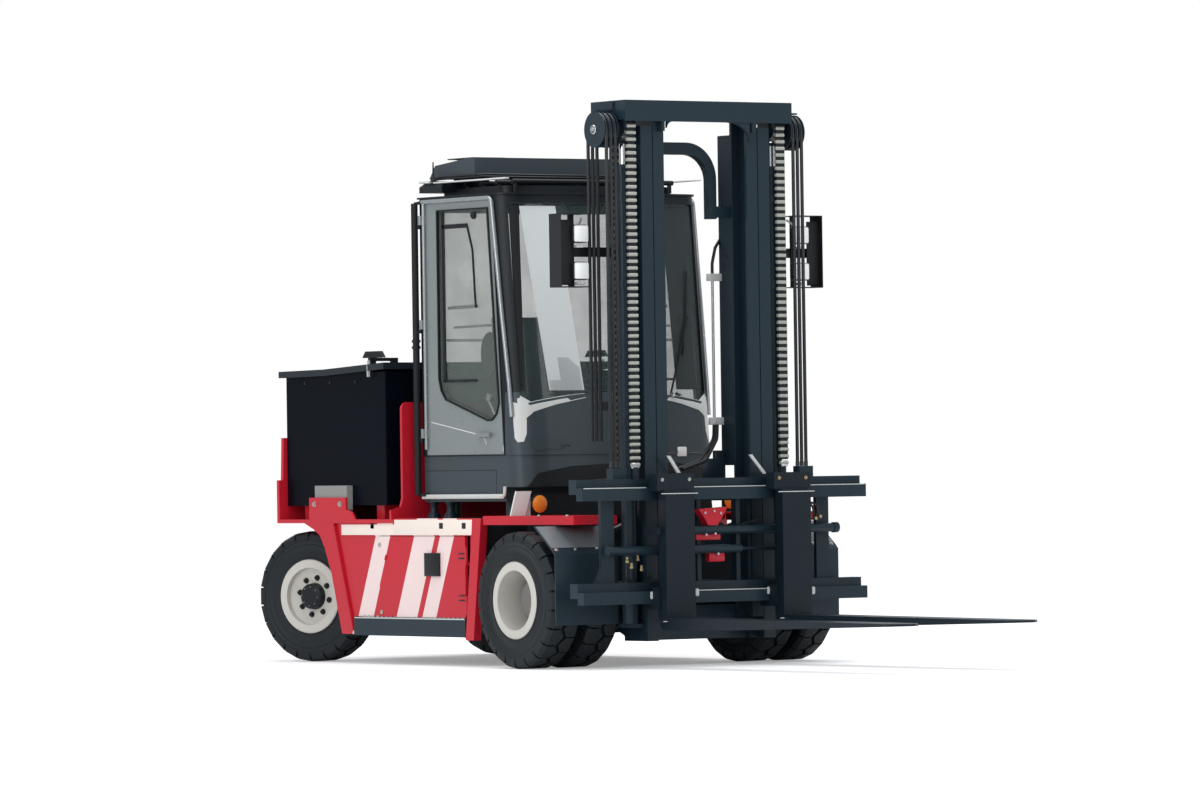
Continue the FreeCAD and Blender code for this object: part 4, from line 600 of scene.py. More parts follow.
def band_mask(bands):
    """A generic motif of slanting bands on the outer face of the right side."""
    def mask(tree):
        split = axes(tree, here(tree))
        slant = maths(tree, "ADD", split["Y"], maths(tree, "MULTIPLY", split["Z"], 0.42))
        total = None
        for low, high in bands:
            inside = maths(tree, "MULTIPLY", maths(tree, "GREATER_THAN", slant, low),
                           maths(tree, "LESS_THAN", slant, high))
            total = maths(tree, "MAXIMUM", total, inside) if total else inside
        face = maths(tree, "GREATER_THAN", maths(tree, "MULTIPLY", split["X"], -1.0), 0.915)
        return maths(tree, "MULTIPLY", total, face)
    return mask


def part_mask(axis, kind, limit):
    """A mask over the part of a node beyond or within a limit along an axis."""
    def mask(tree):
        return maths(tree, kind, maths(tree, "ABSOLUTE", axes(tree, here(tree))[axis]), limit)
    return mask


PAINTS = {}


def make_paints():
    colours = bpy.context.scene.forklift_colours
    red, slate, cream = colours.body_red, colours.mast_slate, colours.rim_cream
    P, y0 = PAINTS, AXLE.y
    P["red"] = paint("red enamel", red, 0.30, 0.10, 0.10, coat=0.25, bump=0.015)
    motif = band_mask([(y0 + 1.24, y0 + 1.40), (y0 + 1.46, y0 + 1.70), (y0 + 1.98, y0 + 2.16)])
    P["red_motif"] = paint("red enamel with pale bands", red, 0.30, 0.08, 0.10, coat=0.25,
                           bump=0.015, mask=motif, second=(0.90, 0.72, 0.70))
    P["slate"] = paint("slate enamel", slate, 0.34, 0.06, 0.14, coat=0.05, bump=0.03)
    P["mast"] = paint("mast enamel", slate, 0.30, 0.03, 0.12, coat=0.06, bump=0.02)
    P["silver"] = paint("silver enamel", colours.cab_silver, 0.30, 0.02, 0.08, metal=0.25, coat=0.15,
                        bump=0.002, shine=0.5)
    P["cab_grey"] = paint("cab grey enamel", (0.045, 0.062, 0.072), 0.34, 0.05, 0.10, coat=0.06)
    P["tube"] = paint("silver tube", (0.34, 0.37, 0.38), 0.24, 0.02, 0.08, metal=0.6, bump=0.002,
                      shine=0.5)
    # A paler slate laid on the sloped front face of each fender.
    P["slope"] = paint("pale slate enamel", (0.16, 0.19, 0.205), 0.34, 0.05, 0.2, coat=0.1)
    P["cab_dark"] = paint("cab frame black", (0.007, 0.010, 0.013), 0.40, 0.03, 0.10)
    P["roof_grey"] = paint("roof cover grey", (0.045, 0.058, 0.068), 0.45, 0.08, 0.12)
    P["stone"] = paint("stone grey moulding", (0.27, 0.275, 0.26), 0.45, 0.1, 0.12)
    P["battery"] = paint("battery case enamel", (0.0015, 0.003, 0.007), 0.32, 0.012, 0.2,
                         shine=0.05)
    P["battery_lid"] = paint("battery lid enamel", (0.012, 0.018, 0.024), 0.34, 0.05, 0.12,
                             coat=0.05)
    P["iron"] = paint("black casting", (0.018, 0.022, 0.028), 0.62, 0.35, 0.2, bump=0.25,
                      grain=160.0)
    P["tyre"] = paint("tyre rubber", (0.009, 0.013, 0.016), 0.50, 0.14, 0.2, bump=0.14,
                      grain=240.0, dust_colour=(0.10, 0.11, 0.115), shine=0.3)
    # Black rubber also makes painted shade: the band behind the chain plates and the strip in the
    # cowl recess.
    P["rubber"] = paint("black rubber and painted shade", (0.010, 0.012, 0.014), 0.55, 0.12, 0.2, bump=0.1,
                        grain=300.0)
    P["steel"] = paint("bright steel", (0.62, 0.63, 0.64), 0.22, 0.05, 0.1, metal=1.0)
    P["chain"] = paint("worn chain steel", (0.50, 0.51, 0.46), 0.38, 0.1, 0.3, metal=0.5,
                       dust_colour=(0.12, 0.11, 0.09), shine=0.5)
    P["chrome"] = paint("hard chrome", (0.72, 0.73, 0.75), 0.10, 0.02, 0.05, metal=1.0)
    P["zinc"] = paint("zinc plated fastener", (0.55, 0.55, 0.52), 0.30, 0.08, 0.15, metal=0.9)
    # Black fastener paint also fills the strip holes, hinge slots and hatch vent as painted shade.
    P["black"] = paint("black fastener and painted shade", (0.014, 0.016, 0.019), 0.42, 0.1, 0.2)
    P["plastic"] = paint("dark moulded plastic", (0.008, 0.010, 0.012), 0.5, 0.03, 0.12,
                         bump=0.15, grain=420.0)
    P["fork"] = paint("fork enamel", (0.006, 0.013, 0.020), 0.34, 0.02, 0.2)
    P["amber"] = paint("amber lens", (0.86, 0.27, 0.03), 0.18, 0.03, 0.06, coat=0.4)
    P["hose"] = paint("hose rubber", (0.016, 0.018, 0.021), 0.30, 0.05, 0.2, coat=0.2)
    P["brass"] = paint("brass fitting", (0.52, 0.40, 0.22), 0.32, 0.1, 0.15, metal=0.8)
    # Pale grey serves real trims, clamps and brackets, and also the painted highlight strips on the
    # carriage rails, forks, door crease and battery lid.
    P["pale_grey"] = paint("pale grey trim and painted highlights", (0.62, 0.64, 0.62), 0.34, 0.03, 0.08)
    # The pale screen paint is a painted reflection: a bright vertical band laid on the windscreen
    # glass.
    P["reflection_paint"] = paint("pale painted reflection", (0.66, 0.70, 0.70), 0.5, 0.02, 0.1)
    P["lens"] = paint("white lamp lens", (0.93, 0.94, 0.93), 0.16, 0.0, 0.03, coat=0.4)
    # The pale strip paint is a painted reflection: light off the sloped glossy top edge of the red
    # side panels.
    P["strip"] = paint("pale reflection strip", (0.90, 0.80, 0.72), 0.36, 0.02, 0.06)
    P["glass"] = pane("cab glass", (0.10, 0.14, 0.14), 0.22)
    # The door glass is a part-opaque grey-green: its own tint and a painted reflection of the bright
    # surroundings.
    P["door_glass"] = pane("door glass tinted for reflection", (0.16, 0.20, 0.18), 0.34)
    P["fender"] = paint("fender enamel", slate, 0.36, 0.10, 0.12, coat=0.1,
                        mask=part_mask("Z", "GREATER_THAN", 0.8955), second=red)
    P["front_lamp"] = paint("front lamp housing", (0.74, 0.75, 0.72), 0.4, 0.04, 0.1,
                            mask=part_mask("X", "LESS_THAN", 0.788), second=(0.03, 0.03, 0.03))
    for finish, nodes in NODE_FINISH.items():
        for packed in nodes.split():
            coat_node(packed, P[finish])
    for name, _ in SIDES:
        rims = "front_rims_" + name
        # Within the hub the rim cream is darkened to about a third: painted shade deep in the wheel
        # dish.
        coat_node(rims, paint("front rim cream " + name, cream, 0.42, 0.18, 0.14,
                              mask=hub_mask(middle(rims), 0.0, 0.145),
                              second=(0.20, 0.198, 0.185)))
        spin = JOINTS["rear_wheel_" + name + "_spin"]
        turn = -math.atan2(spin["axis"][1], spin["axis"][0])
        coat_node("rear_rim_" + name,
                  paint("rear rim cream " + name, cream, 0.42, 0.16, 0.14,
                        mask=hub_mask(spin["pos_m"], turn, 0.0875), second=(0.008, 0.010, 0.014)))


def coat_node(packed, material):
    mesh = NODES[packed].data
    mesh.materials.clear()
    mesh.materials.append(material)


NODE_FINISH = {
    "iron": "chassis_frame counterweight front_axle rear_axle knuckle_left knuckle_right",
    "red_motif": "body_sides side_hatch_right",
    "red": "battery_tray side_hatch_left",
    "stone": "battery_clamps",
    "battery": "battery_box",
    "battery_lid": "battery_lid",
    "slate": "side_steps mast_pulleys",
    "fender": "front_fenders",
    "front_lamp": "front_lamps",
    "chrome": "steering_rod lift_rods tilt_rods",
    "cab_grey": "cab_base cab_cowl",
    "cab_dark": "cab_frame cab_roof",
    "glass": "cab_glass",
    "roof_grey": "air_unit",
    "plastic": "cab_interior",
    "mast": "mast_outer lift_cylinders mast_inner carriage_frame fork_positioner tilt_barrels",
    "chain": "lift_chains",
    "rubber": "mast_hoses",
    "black": "work_lights",
    "tyre": "front_tyres_left front_tyres_right rear_tyre_left rear_tyre_right",
    "silver": "cab_door_left cab_door_right",
    "door_glass": "door_glass_left door_glass_right",
    "fork": "fork_left fork_right",
}


# ----------------------------------------------------------------- wheels
def lug_seed(radius, half, count, side):
    """One tread block on one half of a tyre: pointed to the middle, stepped down the side."""
    def place(x, u, r):
        return (side * x, r * math.sin(u / radius), r * math.cos(u / radius))
    w = math.pi * radius / count - 0.0055
    floor = radius - 0.022
    top = [(half - 0.026, -w), (half - 0.026, w), (0.032, w), (-0.006, 0.004), (0.026, -w)]
    points = [place(x, u, radius) for x, u in top] + [place(x, u * 1.02, floor) for x, u in top]
    for x, wide, deep in ((-0.003, 0.96, 0.020), (0.0005, 0.90, 0.058), (-0.012, 0.90, 0.062)):
        points += [place(half + x, s * w * wide, radius - deep) for s in (-1, 1)]
    return shape("lug_seed", lambda bm: hull_in(bm, points))


def tyre_carcass(bm, radius, half, bead, rim_lip):
    """A tyre's body under the tread, with the ridges moulded into its sides."""
    side = [(half - inset, radius - depth) for inset, depth in (
        (0.030, 0.024), (0.008, 0.034), (0.001, 0.060), (0, 0.066), (0.003, 0.070),
        (0.006, 0.086), (0.003, 0.091), (0.004, 0.100), (0.009, 0.108), (0.012, 0.135),
        (0.009, 0.142))]
    side += [(half - inset, rim_lip + rise) for inset, rise in (
        (0.007, 0.016), (0.001, 0.010), (0.002, 0.002), (0.014, -0.002))]
    side.append((half - 0.014, bead + 0.0005))
    lathe_in(bm, side + [(-x, r) for x, r in reversed(side)], 72)


def wheel_place(centre, axis):
    """Moves a wheel made about the X axis to its place."""
    turn = math.atan2(axis[1], axis[0])
    return Matrix.Translation(centre) @ Matrix.Rotation(turn, 4, "Z")


def dressed_tyre(name, centre, axis, half, lip):
    """One tyre with its two rows of blocks, half a step apart."""
    radius, bead = AXLE.z, 0.2
    count = bpy.context.scene.forklift_tread.blocks
    move = wheel_place(centre, axis)
    parts = [shape(name + "_body", lambda bm: tyre_carcass(bm, radius, half, bead, lip), 35,
                   move)]
    parts[0].data.materials.append(PAINTS["tyre"])
    step = 2 * math.pi / count
    for side, first in ((1, 0.0), (-1, step / 2)):
        parts.append(pattern("ring", name + "_row", {
            "Copy": lug_seed(radius - 0.0004, half, count, side), "Count": count, "Step": step,
            "First": first}, "tyre", move=move))
    return joined(name, parts)


def wheel_fasteners(name, centre, axis, ring, out, count, size, high, body, finish, turn=0.0,
                    facing=1):
    """A ring of nuts on a wheel's disc, at a distance out along its axis."""
    def nut(bm):
        r = size * MM / 2 / math.cos(math.pi / 6)
        top = out + facing * high * MM
        for rim, low, end, taper in (
                (circle(r, 6), out, top, 0.9),
                (circle(r * 1.3, 16), out - facing * MM, out + facing * 3 * MM, 1),
                (circle(r * 0.55, 10), top, out + facing * (high + 5) * MM, 0.8)):
            hull_in(bm, [(low, y, z + ring) for y, z in rim]
                    + [(end, y * taper, z * taper + ring) for y, z in rim])
    return seat(pattern("ring", name, {"Copy": shape("nut_seed", nut), "Count": count,
                                       "Step": 2 * math.pi / count, "First": turn}, finish,
                        move=wheel_place(centre, axis)), body)


def make_wheels():
    radius = AXLE.z
    width = bpy.context.scene.forklift_tread.tyre_width
    for name, side in SIDES:
        lo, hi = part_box("front_tyres_" + name)
        rim_low, rim_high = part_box("front_rims_" + name)
        lip = (rim_high.z - rim_low.z) / 2
        for k, x in enumerate((lo.x + width / 2, hi.x - width / 2)):
            tyre = dressed_tyre("front_tyre_%s_%d" % (name, k + 1), Vector((x, AXLE.y, radius)),
                                (1, 0, 0), width / 2, lip)
            seat(tyre, "front_wheel_" + name)
            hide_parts("front_tyres_" + name)
        spin = JOINTS["rear_wheel_" + name + "_spin"]
        centre, axis, body = Vector(spin["pos_m"]), spin["axis"], "rear_wheel_" + name
        tyre = dressed_tyre("rear_tyre_" + name + "_dressed", centre, axis, width / 2, lip)
        seat(tyre, body)
        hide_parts("rear_tyre_" + name)
        face = width / 2
        wheel_fasteners("rear_wheel_nuts_" + name, centre, axis, 0.122, side * (face - 0.057),
                        8, 26, 18, body, "black", 0.2, side)
        wheel_fasteners("rear_hub_screws_" + name, centre, axis, 0.062, side * (face - 0.010),
                        8, 11, 5, body, "zinc", 0.1, side)
        wheel_fasteners("front_wheel_nuts_" + name, middle("front_rims_" + name), (1, 0, 0),
                        0.163, side * 0.016, 10, 27, 18, "front_wheel_" + name, "iron",
                        facing=side)


# ----------------------------------------------------------------- chains and hoses
CHAIN_PITCH = 42.1
CHAIN_PLATES = 7


def chain_seed(x, width, high):
    """One pitch of a leaf chain: a pack of plates round its pin, just below the origin."""
    step = width / CHAIN_PLATES
    half, r = CHAIN_PITCH * 0.24, high / 2
    rim = [(r, -half + 5), (r - 4, -half), (-r + 4, -half), (-r, -half + 5), (-r, half - 5),
           (-r + 4, half), (r - 4, half), (r, half - 5)]

    def link(bm):
        for k in range(CHAIN_PLATES):
            low = x - width / 2 + k * step
            plate(bm, [(a, b - CHAIN_PITCH / 2) for a, b in rim], low, low + step * 0.86)
        plate(bm, [(a, b - CHAIN_PITCH / 2) for a, b in circle(5, 8)], x - width / 2 - 3,
              x + width / 2 + 3)
    return shape("link_seed", link)


def make_chains():
    (_, right), (front, back), (low, top) = edges("lift_chains")
    high = 24.0
    middle_y, radius = (front + back) / 2, (back - front - high) / 2
    axle_z = top - radius - high / 2
    width = 66.0
    count = int((axle_z - low - 40) / CHAIN_PITCH)
    tail = axle_z - (count - 2) * CHAIN_PITCH
    links_over = round(math.pi * radius / CHAIN_PITCH)
    turn = math.pi / links_over
    front_y, rear_y = middle_y - radius, middle_y + radius
    for name, side in SIDES:
        x = side * (right - width / 2)
        made = []
        for place, y in (("front", front_y), ("rear", rear_y)):
            links = row_of("chain_%s_%s" % (place, name), chain_seed(x, width, high), count,
                           (0, y, axle_z), (0, 0, -CHAIN_PITCH), "chain", "inner_mast")

            # A dark band behind each run of chain plates: painted shade in the gaps between the
            # plates.
            @piece("chain_core_%s_%s" % (place, name), "inner_mast", "rubber")
            def inside(bm):
                slab(bm, (x - width * 0.44, x + width * 0.44), (y - 6, y + 6),
                     (axle_z - count * CHAIN_PITCH, axle_z), 1)
            made += [links, inside]
            if place == "front":
                for obj in (links, inside):
                    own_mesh(obj)
        seed = chain_seed(x, width, high)
        seed.data.transform(Matrix.Translation(-at(0, radius, -CHAIN_PITCH / 2)))
        over = pattern("ring", "chain_over_" + name, {
            "Copy": seed, "Count": links_over, "Step": turn, "First": turn / 2}, "chain",
            move=Matrix.Translation(at(0, middle_y, axle_z)))
        made.append(seat(over, "inner_mast"))
        made.append(row_of("chain_end_" + name, chain_seed(x, width - 4, high - 3), 3,
                           (0, front_y, tail), (0, 0, -CHAIN_PITCH), "chain", "carriage"))

        @piece("chain_anchor_" + name, "carriage", "steel")
        def block(bm):
            slab(bm, (x - 26, x + 26), (front_y - 9, front_y + 9), (low - 2, low + 36), 4)
        for obj in made + [block]:
            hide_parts("lift_chains")


def make_hoses():
    (_, right), (front, back), (low, top) = edges("mast_hoses")
    (_, far), _, _ = edges("mast_pulleys")
    hose, gap, sleeve = 11.0, 33.3, 13.0
    middle_y = (front + back) / 2
    radius = (back - front) / 2 - sleeve
    axle_z = top - (back - front) / 2
    front_y, tail = middle_y - radius, low + 10
    for name, side in SIDES:
        for k in range(3):
            x = side * (right - sleeve - gap * k)

            @piece("hose_front_%s_%d" % (name, k + 1), "inner_mast", "hose")
            def hung(bm):
                pipe(bm, [(x, front_y, axle_z), (x, front_y, tail)], hose)
            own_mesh(hung)

            @piece("hose_over_%s_%d" % (name, k + 1), "inner_mast", "hose")
            def over(bm):
                arc = [(x, middle_y - radius * math.cos(a), axle_z + radius * math.sin(a))
                       for a in [math.pi * t / 14 for t in range(15)]]
                pipe(bm, arc + [(x, middle_y + radius, tail + 160)], hose)

            @piece("hose_end_%s_%d" % (name, k + 1), "carriage", "hose")
            def end(bm):
                pipe(bm, [(x, front_y, low + 100), (x, front_y, low + 40)], hose - 1)
                turned(bm, (x, front_y, low), [(0, 1), (0, 13), (26, 13), (28, 11.5), (50, 11.5),
                                               (52, 1)], "Z", 12)
            for obj in (hung, over, end):
                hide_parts("mast_hoses")

        @piece("pulley_cap_" + name, "inner_mast", "steel")
        def cap(bm):
            turned(bm, (side * far, middle_y, axle_z),
                   [(side * a, r) for a, r in ((-14, 1), (-14, 30), (-4, 30), (-1, 27), (-1, 15),
                                               (4, 13), (4, 1))])


# ----------------------------------------------------------------- mast and carriage
def make_mast():
    _, (_, back), (low, _) = edges("mast_outer")
    _, (beam_front, _), (_, beam_top) = edges("mast_inner")
    x, y = 268, back - 34
    pipe_low, pipe_top = low + 1363, low + 2270

    @piece("mast_pipe", "mast", "steel")
    def steel(bm):
        pipe(bm, [(x, y, pipe_low), (x, y, pipe_top)], 9)
        for z in (pipe_low, pipe_top):
            turned(bm, (x, y, z - 22), [(0, 1), (0, 15), (44, 15), (44, 1)], "Z", 6)

    @piece("mast_pipe_clamps", "mast", "pale_grey")
    def clamps(bm):
        for z in (pipe_low, pipe_top):
            slab(bm, (x - 40, x + 72), (y - 16, y + 14), (z - 22, z + 26), 5)

    @piece("mast_feed_hoses", "mast", "hose")
    def feeds(bm):
        pipe(bm, [(x, y, pipe_top + 20), (x, y, pipe_top + 90), (x + 28, y + 4, pipe_top + 190),
                  (x + 70, y + 10, pipe_top + 240)], 10, 60)
        for out in (0, 26):
            pipe(bm, [(x, y - out, pipe_low - 20), (x - 4, y - out, pipe_low - 110),
                      (x - 120 + out, y - out, pipe_low - 250),
                      (x - 300 + out, y - out - 4, pipe_low - 300)], 13, 90)

    @piece("mast_cover", "mast", "mast")
    def cover(bm):
        slab(bm, (150, 330), (back - 62, back - 54), (low + 985, low + 1130), 3)
        slab(bm, (258, 330), (back - 54, back - 20), (low + 985, low + 1180), 6)

    @piece("beam_gussets", "inner_mast", "mast")
    def gussets(bm):
        z = beam_top - 130
        for side, wide, high in ((1, 170, 122), (-1, 44, 40)):
            x0 = side * 318
            curve = [(x0, z), (x0, z - high)]
            for k in range(9):
                a = math.radians(90 * k / 8)
                curve.append((x0 - side * wide * (1 - math.cos(a)),
                              z - high * (1 - math.sin(a))))
            plate(bm, curve, beam_front + 6, beam_front + 26, "Y")


def make_carriage():
    _, (front, back), (low, top) = edges("carriage_frame")
    _, (bar_front, _), (bar_low, bar_top) = edges("fork_positioner")
    for name, side in SIDES:
        fork_x, body = side * 448, "fork_" + name
        bolts("hook_bolts_" + name,
              [(fork_x + d, front - 90, top - 72, "-Y") for d in (-103, 103)], body,
              "zinc" if side < 0 else "brass", 15, 9)

        # Pale strips across the hook plate and the fork face: painted highlights on their edges.
        @piece("fork_edges_" + name, body, "pale_grey")
        def lit(bm):
            _, _, (fork_low, fork_top) = edges(body)
            for z in (fork_top - 124, fork_low + 52):
                slab(bm, (fork_x - 138, fork_x + 138), (front - 133.6, front - 129), (z, z + 5), 0.5)

    @piece("guide_pads", "carriage", "pale_grey")
    def pads(bm):
        for x, z in ((-575, low + 54), (-234, low + 65), (320, low + 65), (662, low + 57)):
            slab(bm, (x - 14, x + 14), (front - 7, front + 4), (z - 26, z + 22), 8)

    @piece("carriage_gussets", "carriage", "pale_grey")
    def ribs(bm):
        for side in (-1, 1):
            x0, x1, z1 = (-354, -277, top - 31) if side < 0 else (250, 359, top - 45)
            plate(bm, [(x0, top + 76), (x0 + side * 26, top + 76), (x1 + side * 26, z1),
                       (x1, z1)], back - 232, back - 222, "Y")

    # Pale strips along the top front edges of the carriage rails: painted highlights where the edges
    # catch the light.
    @piece("rail_edges", "carriage", "pale_grey")
    def edges_lit(bm):
        for xs, z in (((-1080, -610), top - 122), ((610, 1080), top - 122),
                      ((-330, 330), top - 122), ((-330, 330), low + 73)):
            slab(bm, xs, (front - 0.2, front + 5), (z, z + 5), 0.5)

    @piece("shifter_fittings", "carriage", "brass")
    def fittings(bm):
        y = bar_front - 8
        for x, z, w in ((-722, bar_low - 40, 22), (-690, bar_low - 76, 26), (-640, bar_low - 30, 20),
                        (-612, bar_low - 92, 24)):
            turned(bm, (x, y + 60, z), [(0, 1), (0, w / 2), (14, w / 2), (16, w / 2 - 3),
                                        (34, w / 2 - 3), (36, 1)], "Z", 6)
        for x, z in ((700, bar_top + 26), (735, bar_top + 38)):
            turned(bm, (x, y + 30, z), [(-20, 1), (-20, 11), (10, 11), (14, 8), (24, 8), (24, 1)],
                   "Y", 8)

    @piece("shifter_hoses", "carriage", "hose")
    def lines(bm):
        y = bar_front + 30
        for k in range(2):
            pipe(bm, [(-722 + 34 * k, y + 20, bar_low - 20), (-730 + 30 * k, y + 30, bar_low - 140),
                      (-600 + 20 * k, y + 60, bar_low - 200 - 20 * k),
                      (-420, y + 90, bar_low - 170 + 40 * k)], 8, 60)
            pipe(bm, [(700 + 35 * k, y, bar_top + 30), (690 + 30 * k, y - 10, bar_top + 110),
                      (560, y + 70, bar_top + 170 + 20 * k)], 7, 50)
        pipe(bm, [(-200, y + 40, bar_top - 20), (-40, y + 20, bar_top - 34),
                  (140, y + 30, bar_top - 10), (330, y + 50, bar_top + 40)], 8, 50)

    x, z = -85, bar_top + 40

    @piece("shifter_valve", "carriage", "red")
    def valve(bm):
        plate(bm, [(x - 112, z + 58), (x + 112, z + 70), (x + 60, z - 6), (x + 30, z - 44),
                   (x - 40, z - 44), (x - 62, z - 6)], front + 20, front + 84, "Y")
        slab(bm, (x - 120, x + 70), (front + 40, front + 90), (z - 136, z - 70), 8)
        slab(bm, (x - 20, x + 100), (front + 40, front + 90), (z - 272, z - 186), 8)

    @piece("shifter_valve_plugs", "carriage", "steel")
    def marks(bm):
        for dx, dz in ((-66, 34), (4, 44), (54, 30), (-60, -102), (10, -96), (30, -222)):
            turned(bm, (x + dx, front + 20, z + dz), [(-7, 1), (-7, 8), (4, 9), (4, 1)], "Y", 8)


# ----------------------------------------------------------------- cab
def make_doors():
    for name, side in SIDES:
        _, (front, back), (low, top) = edges("cab_door_" + name)
        face = 775
        body = "door_" + name

        @piece("door_seal_" + name, body, "rubber")
        def seal(bm):
            ring = [at(side * (face + 1), a, b) for a, b in outline_of("door_glass_" + name, side)]
            sweep_in(bm, ring, [(u * MM, v * MM) for u, v in
                                ((-9, -5), (9, -5), (9, 3), (5, 6), (-5, 6), (-9, 3))], True)

        @piece("door_gap_" + name, body, "rubber")
        def gap(bm):
            ring = [at(side * (face - 1), a, b) for a, b in outline_of("cab_door_" + name, side)]
            sweep_in(bm, ring, [(u * MM, v * MM) for u, v in ((-5, -5), (5, -5), (5, 4), (-5, 4))],
                     True)

        @piece("door_tubes_" + name, "chassis", "tube")
        def tubes(bm):
            x = side * (face + 9)
            pipe(bm, [(x, back - 30, top - 8), (x, front + 104, top - 8),
                      (x - side * 8, front + 14, top - 723), (x - side * 17, front - 50, top - 1204),
                      (x - side * 20, front - 68, top - 1400)], 15, 46)
            pipe(bm, [(x, back - 44, top - 20), (x, back - 44, low + 40)], 12)

        @piece("door_slider_" + name, body, "rubber")
        def slider(bm):
            x = side * 764
            slab(bm, (x - 4, x + 4), (front + 672, front + 702), (low + 470, top - 80), 3)
            slab(bm, (x - 4, x + 4), (front + 404, front + 702), (top - 188, top - 160), 3)
            pipe(bm, [(x, front + 410, top - 176), (x, front + 352, top - 330),
                      (x, front + 330, top - 620), (x, front + 322, top - 700)], 7, 60)
            slab(bm, (x - 4, x + 4), (front + 322, front + 702), (low + 468, low + 484), 3)
            turned(bm, (side * (face - 5), front + 315, top - 113),
                   [(side * a, r) for a, r in ((0, 1), (0, 24), (14, 24), (20, 18), (20, 1))])

        @piece("door_inner_rails_" + name, body, "steel")
        def bars(bm):
            x = side * 738
            pipe(bm, [(x, front + 346, low + 950), (x, front + 668, low + 944)], 11)
            pipe(bm, [(x, front + 40, low + 826), (x, front + 612, low + 818)], 8)
            pipe(bm, [(x, front + 190, low + 728), (x, front + 690, low + 738)], 9)
            turned(bm, (x, front + 228, low + 368),
                   [(side * a, r) for a, r in ((-14, 1), (-14, 20), (-4, 26), (8, 26), (12, 20),
                                               (12, 1))])
            pipe(bm, [(x, front + 120, low + 190), (x, front + 230, low + 345)], 8)

        # A pale thin line along the lower door's raised crease: painted highlight.
        @piece("door_crease_" + name, body, "pale_grey")
        def crease(bm):
            pipe(bm, [(side * (face - 1), back - 90, low + 215), (side * (face - 1), front + 240,
                      low + 122), (side * (face - 1), front + 205, low + 66)], 4, 30, 8)
            slab(bm, (side * (face - 1), side * (face + 1)), (front + 14, front + 20),
                 (low + 20, low + 60), 0.5)

        def mirror(bm):
            centre = (side * 742, front + 209, low + 645)
            turned(bm, centre, [(-8, 1), (-8, 85), (6, 92), (12, 80), (12, 1)])
            bmesh.ops.scale(bm, vec=(1, 1, 1.5), space=Matrix.Translation(-at(*centre)),
                            verts=bm.verts[:])
        if side < 0:
            piece("inner_mirror", body, "plastic")(mirror)

        @piece("hose_guard_rod_" + name, "chassis", "rubber")
        def rod(bm):
            x, y = side * 800, back + 37
            pipe(bm, [(x, y, low - 250), (x, y, top - 15)], 22)
            for z in (low + 690, low + 730):
                turned(bm, (x, y, z), [(0, 1), (0, 29), (16, 29), (16, 1)], "Z", 16)
            pipe(bm, [(x, y, top - 18), (x - side * 30, y - 40, top - 8)], 11)
            slab(bm, (x, x - side * 40), (y - 90, y + 12), (low - 262, low - 240), 5)


def make_windscreen():
    _, _, (low, top) = edges("cab_glass")
    for name, side in SIDES:
        reach, foot = (640, 686) if side < 0 else (446, 473)

        @piece("screen_border_" + name, "chassis", "rubber")
        def border(bm):
            outer = [(712, 575, top - 8), (712, 530, low + 840), (712, 480, low + 238)]
            inner = [(reach, 560, top - 8), ((reach + foot) / 2, 505, low + 840),
                     (foot, 455, low + 238)]
            strip_on(bm, "cab_glass", mirrored(side, outer), mirrored(side, inner), 1.5, 8)

        @piece("cowl_trim_" + name, "chassis", "pale_grey")
        def trim(bm):
            outer = [(752, 497, 1668), (754, 488, 1540), (752, 478, 1440), (742, 462, 1414)]
            inner = [(694, 440, 1648), (690, 434, 1560), (694, 430, 1470), (712, 436, 1418)]
            strip_on(bm, "cab_cowl", mirrored(side, outer), mirrored(side, inner), 3, 6)
            upper = [(738, 470, 1690), (680, 444, 1712), (560, 432, 1722), (400, 418, 1722),
                     (262, 408, 1722)]
            lower = [(738, 462, 1600), (690, 436, 1566), (640, 430, 1606), (492, 412, 1648),
                     (262, 398, 1692)]
            strip_on(bm, "cab_cowl", mirrored(side, upper), mirrored(side, lower), 3.5, 6)

    # A pale band laid on the windscreen glass: painted reflection of a bright light.
    @piece("screen_blind", "chassis", "reflection_paint")
    def reflection_paint(bm):
        strip_on(bm, "cab_glass",
                 [(-637, 564, top - 18), (-573, 499, low + 813), (-512, 436, low + 240)],
                 [(-383, 531, top - 18), (-322, 469, low + 813), (-262, 413, low + 240)], 1.0, 8)

    @piece("cowl_lamp", "chassis", "lens")
    def lamp(bm):
        slab(bm, (432, 506), (372, 392), (1310, 1372), 8)

    @piece("cowl_blade", "chassis", "cab_grey")
    def blade(bm):
        strip_on(bm, "cab_cowl", [(-692, 425, 1432), (-450, 385, 1400), (-200, 370, 1372),
                                  (80, 370, 1362)],
                 [(-640, 404, 1360), (-450, 385, 1372), (-200, 370, 1362), (80, 370, 1356)], 4, 6)

    # A black strip across the cowl's recessed panel: painted shade in the recess.
    @piece("cowl_recess", "chassis", "rubber")
    def recess(bm):
        strip_on(bm, "cab_cowl", [(-236, 392, 1648), (-120, 385, 1664), (-20, 384, 1650)],
                 [(-232, 390, 1622), (-120, 385, 1608), (-20, 384, 1624)], 3, 5)

    @piece("wipers", "chassis", "rubber")
    def wipers(bm):
        def on(x, z, out=14):
            t = (z - 1731) / 1170
            return (x, 424 - out + 108 * t + 22 * (abs(x) / 600) ** 2, z)
        for foot, tip in ((420, 600), (-60, 180)):
            pipe(bm, [on(foot, 1712, 10), on((foot + tip) / 2, 1960), on(tip, 2210)], 7)
            pipe(bm, [on(tip - 60, 1960, 8), on(tip - 10, 2230, 8), on(tip + 20, 2500, 8)], 6)

    @piece("wiper_pivots", "chassis", "steel")
    def pivots(bm):
        for x in (420, -60):
            turned(bm, (x, 404, 1704), [(-18, 1), (-18, 10), (-4, 15), (14, 17), (14, 1)], "Y", 14)


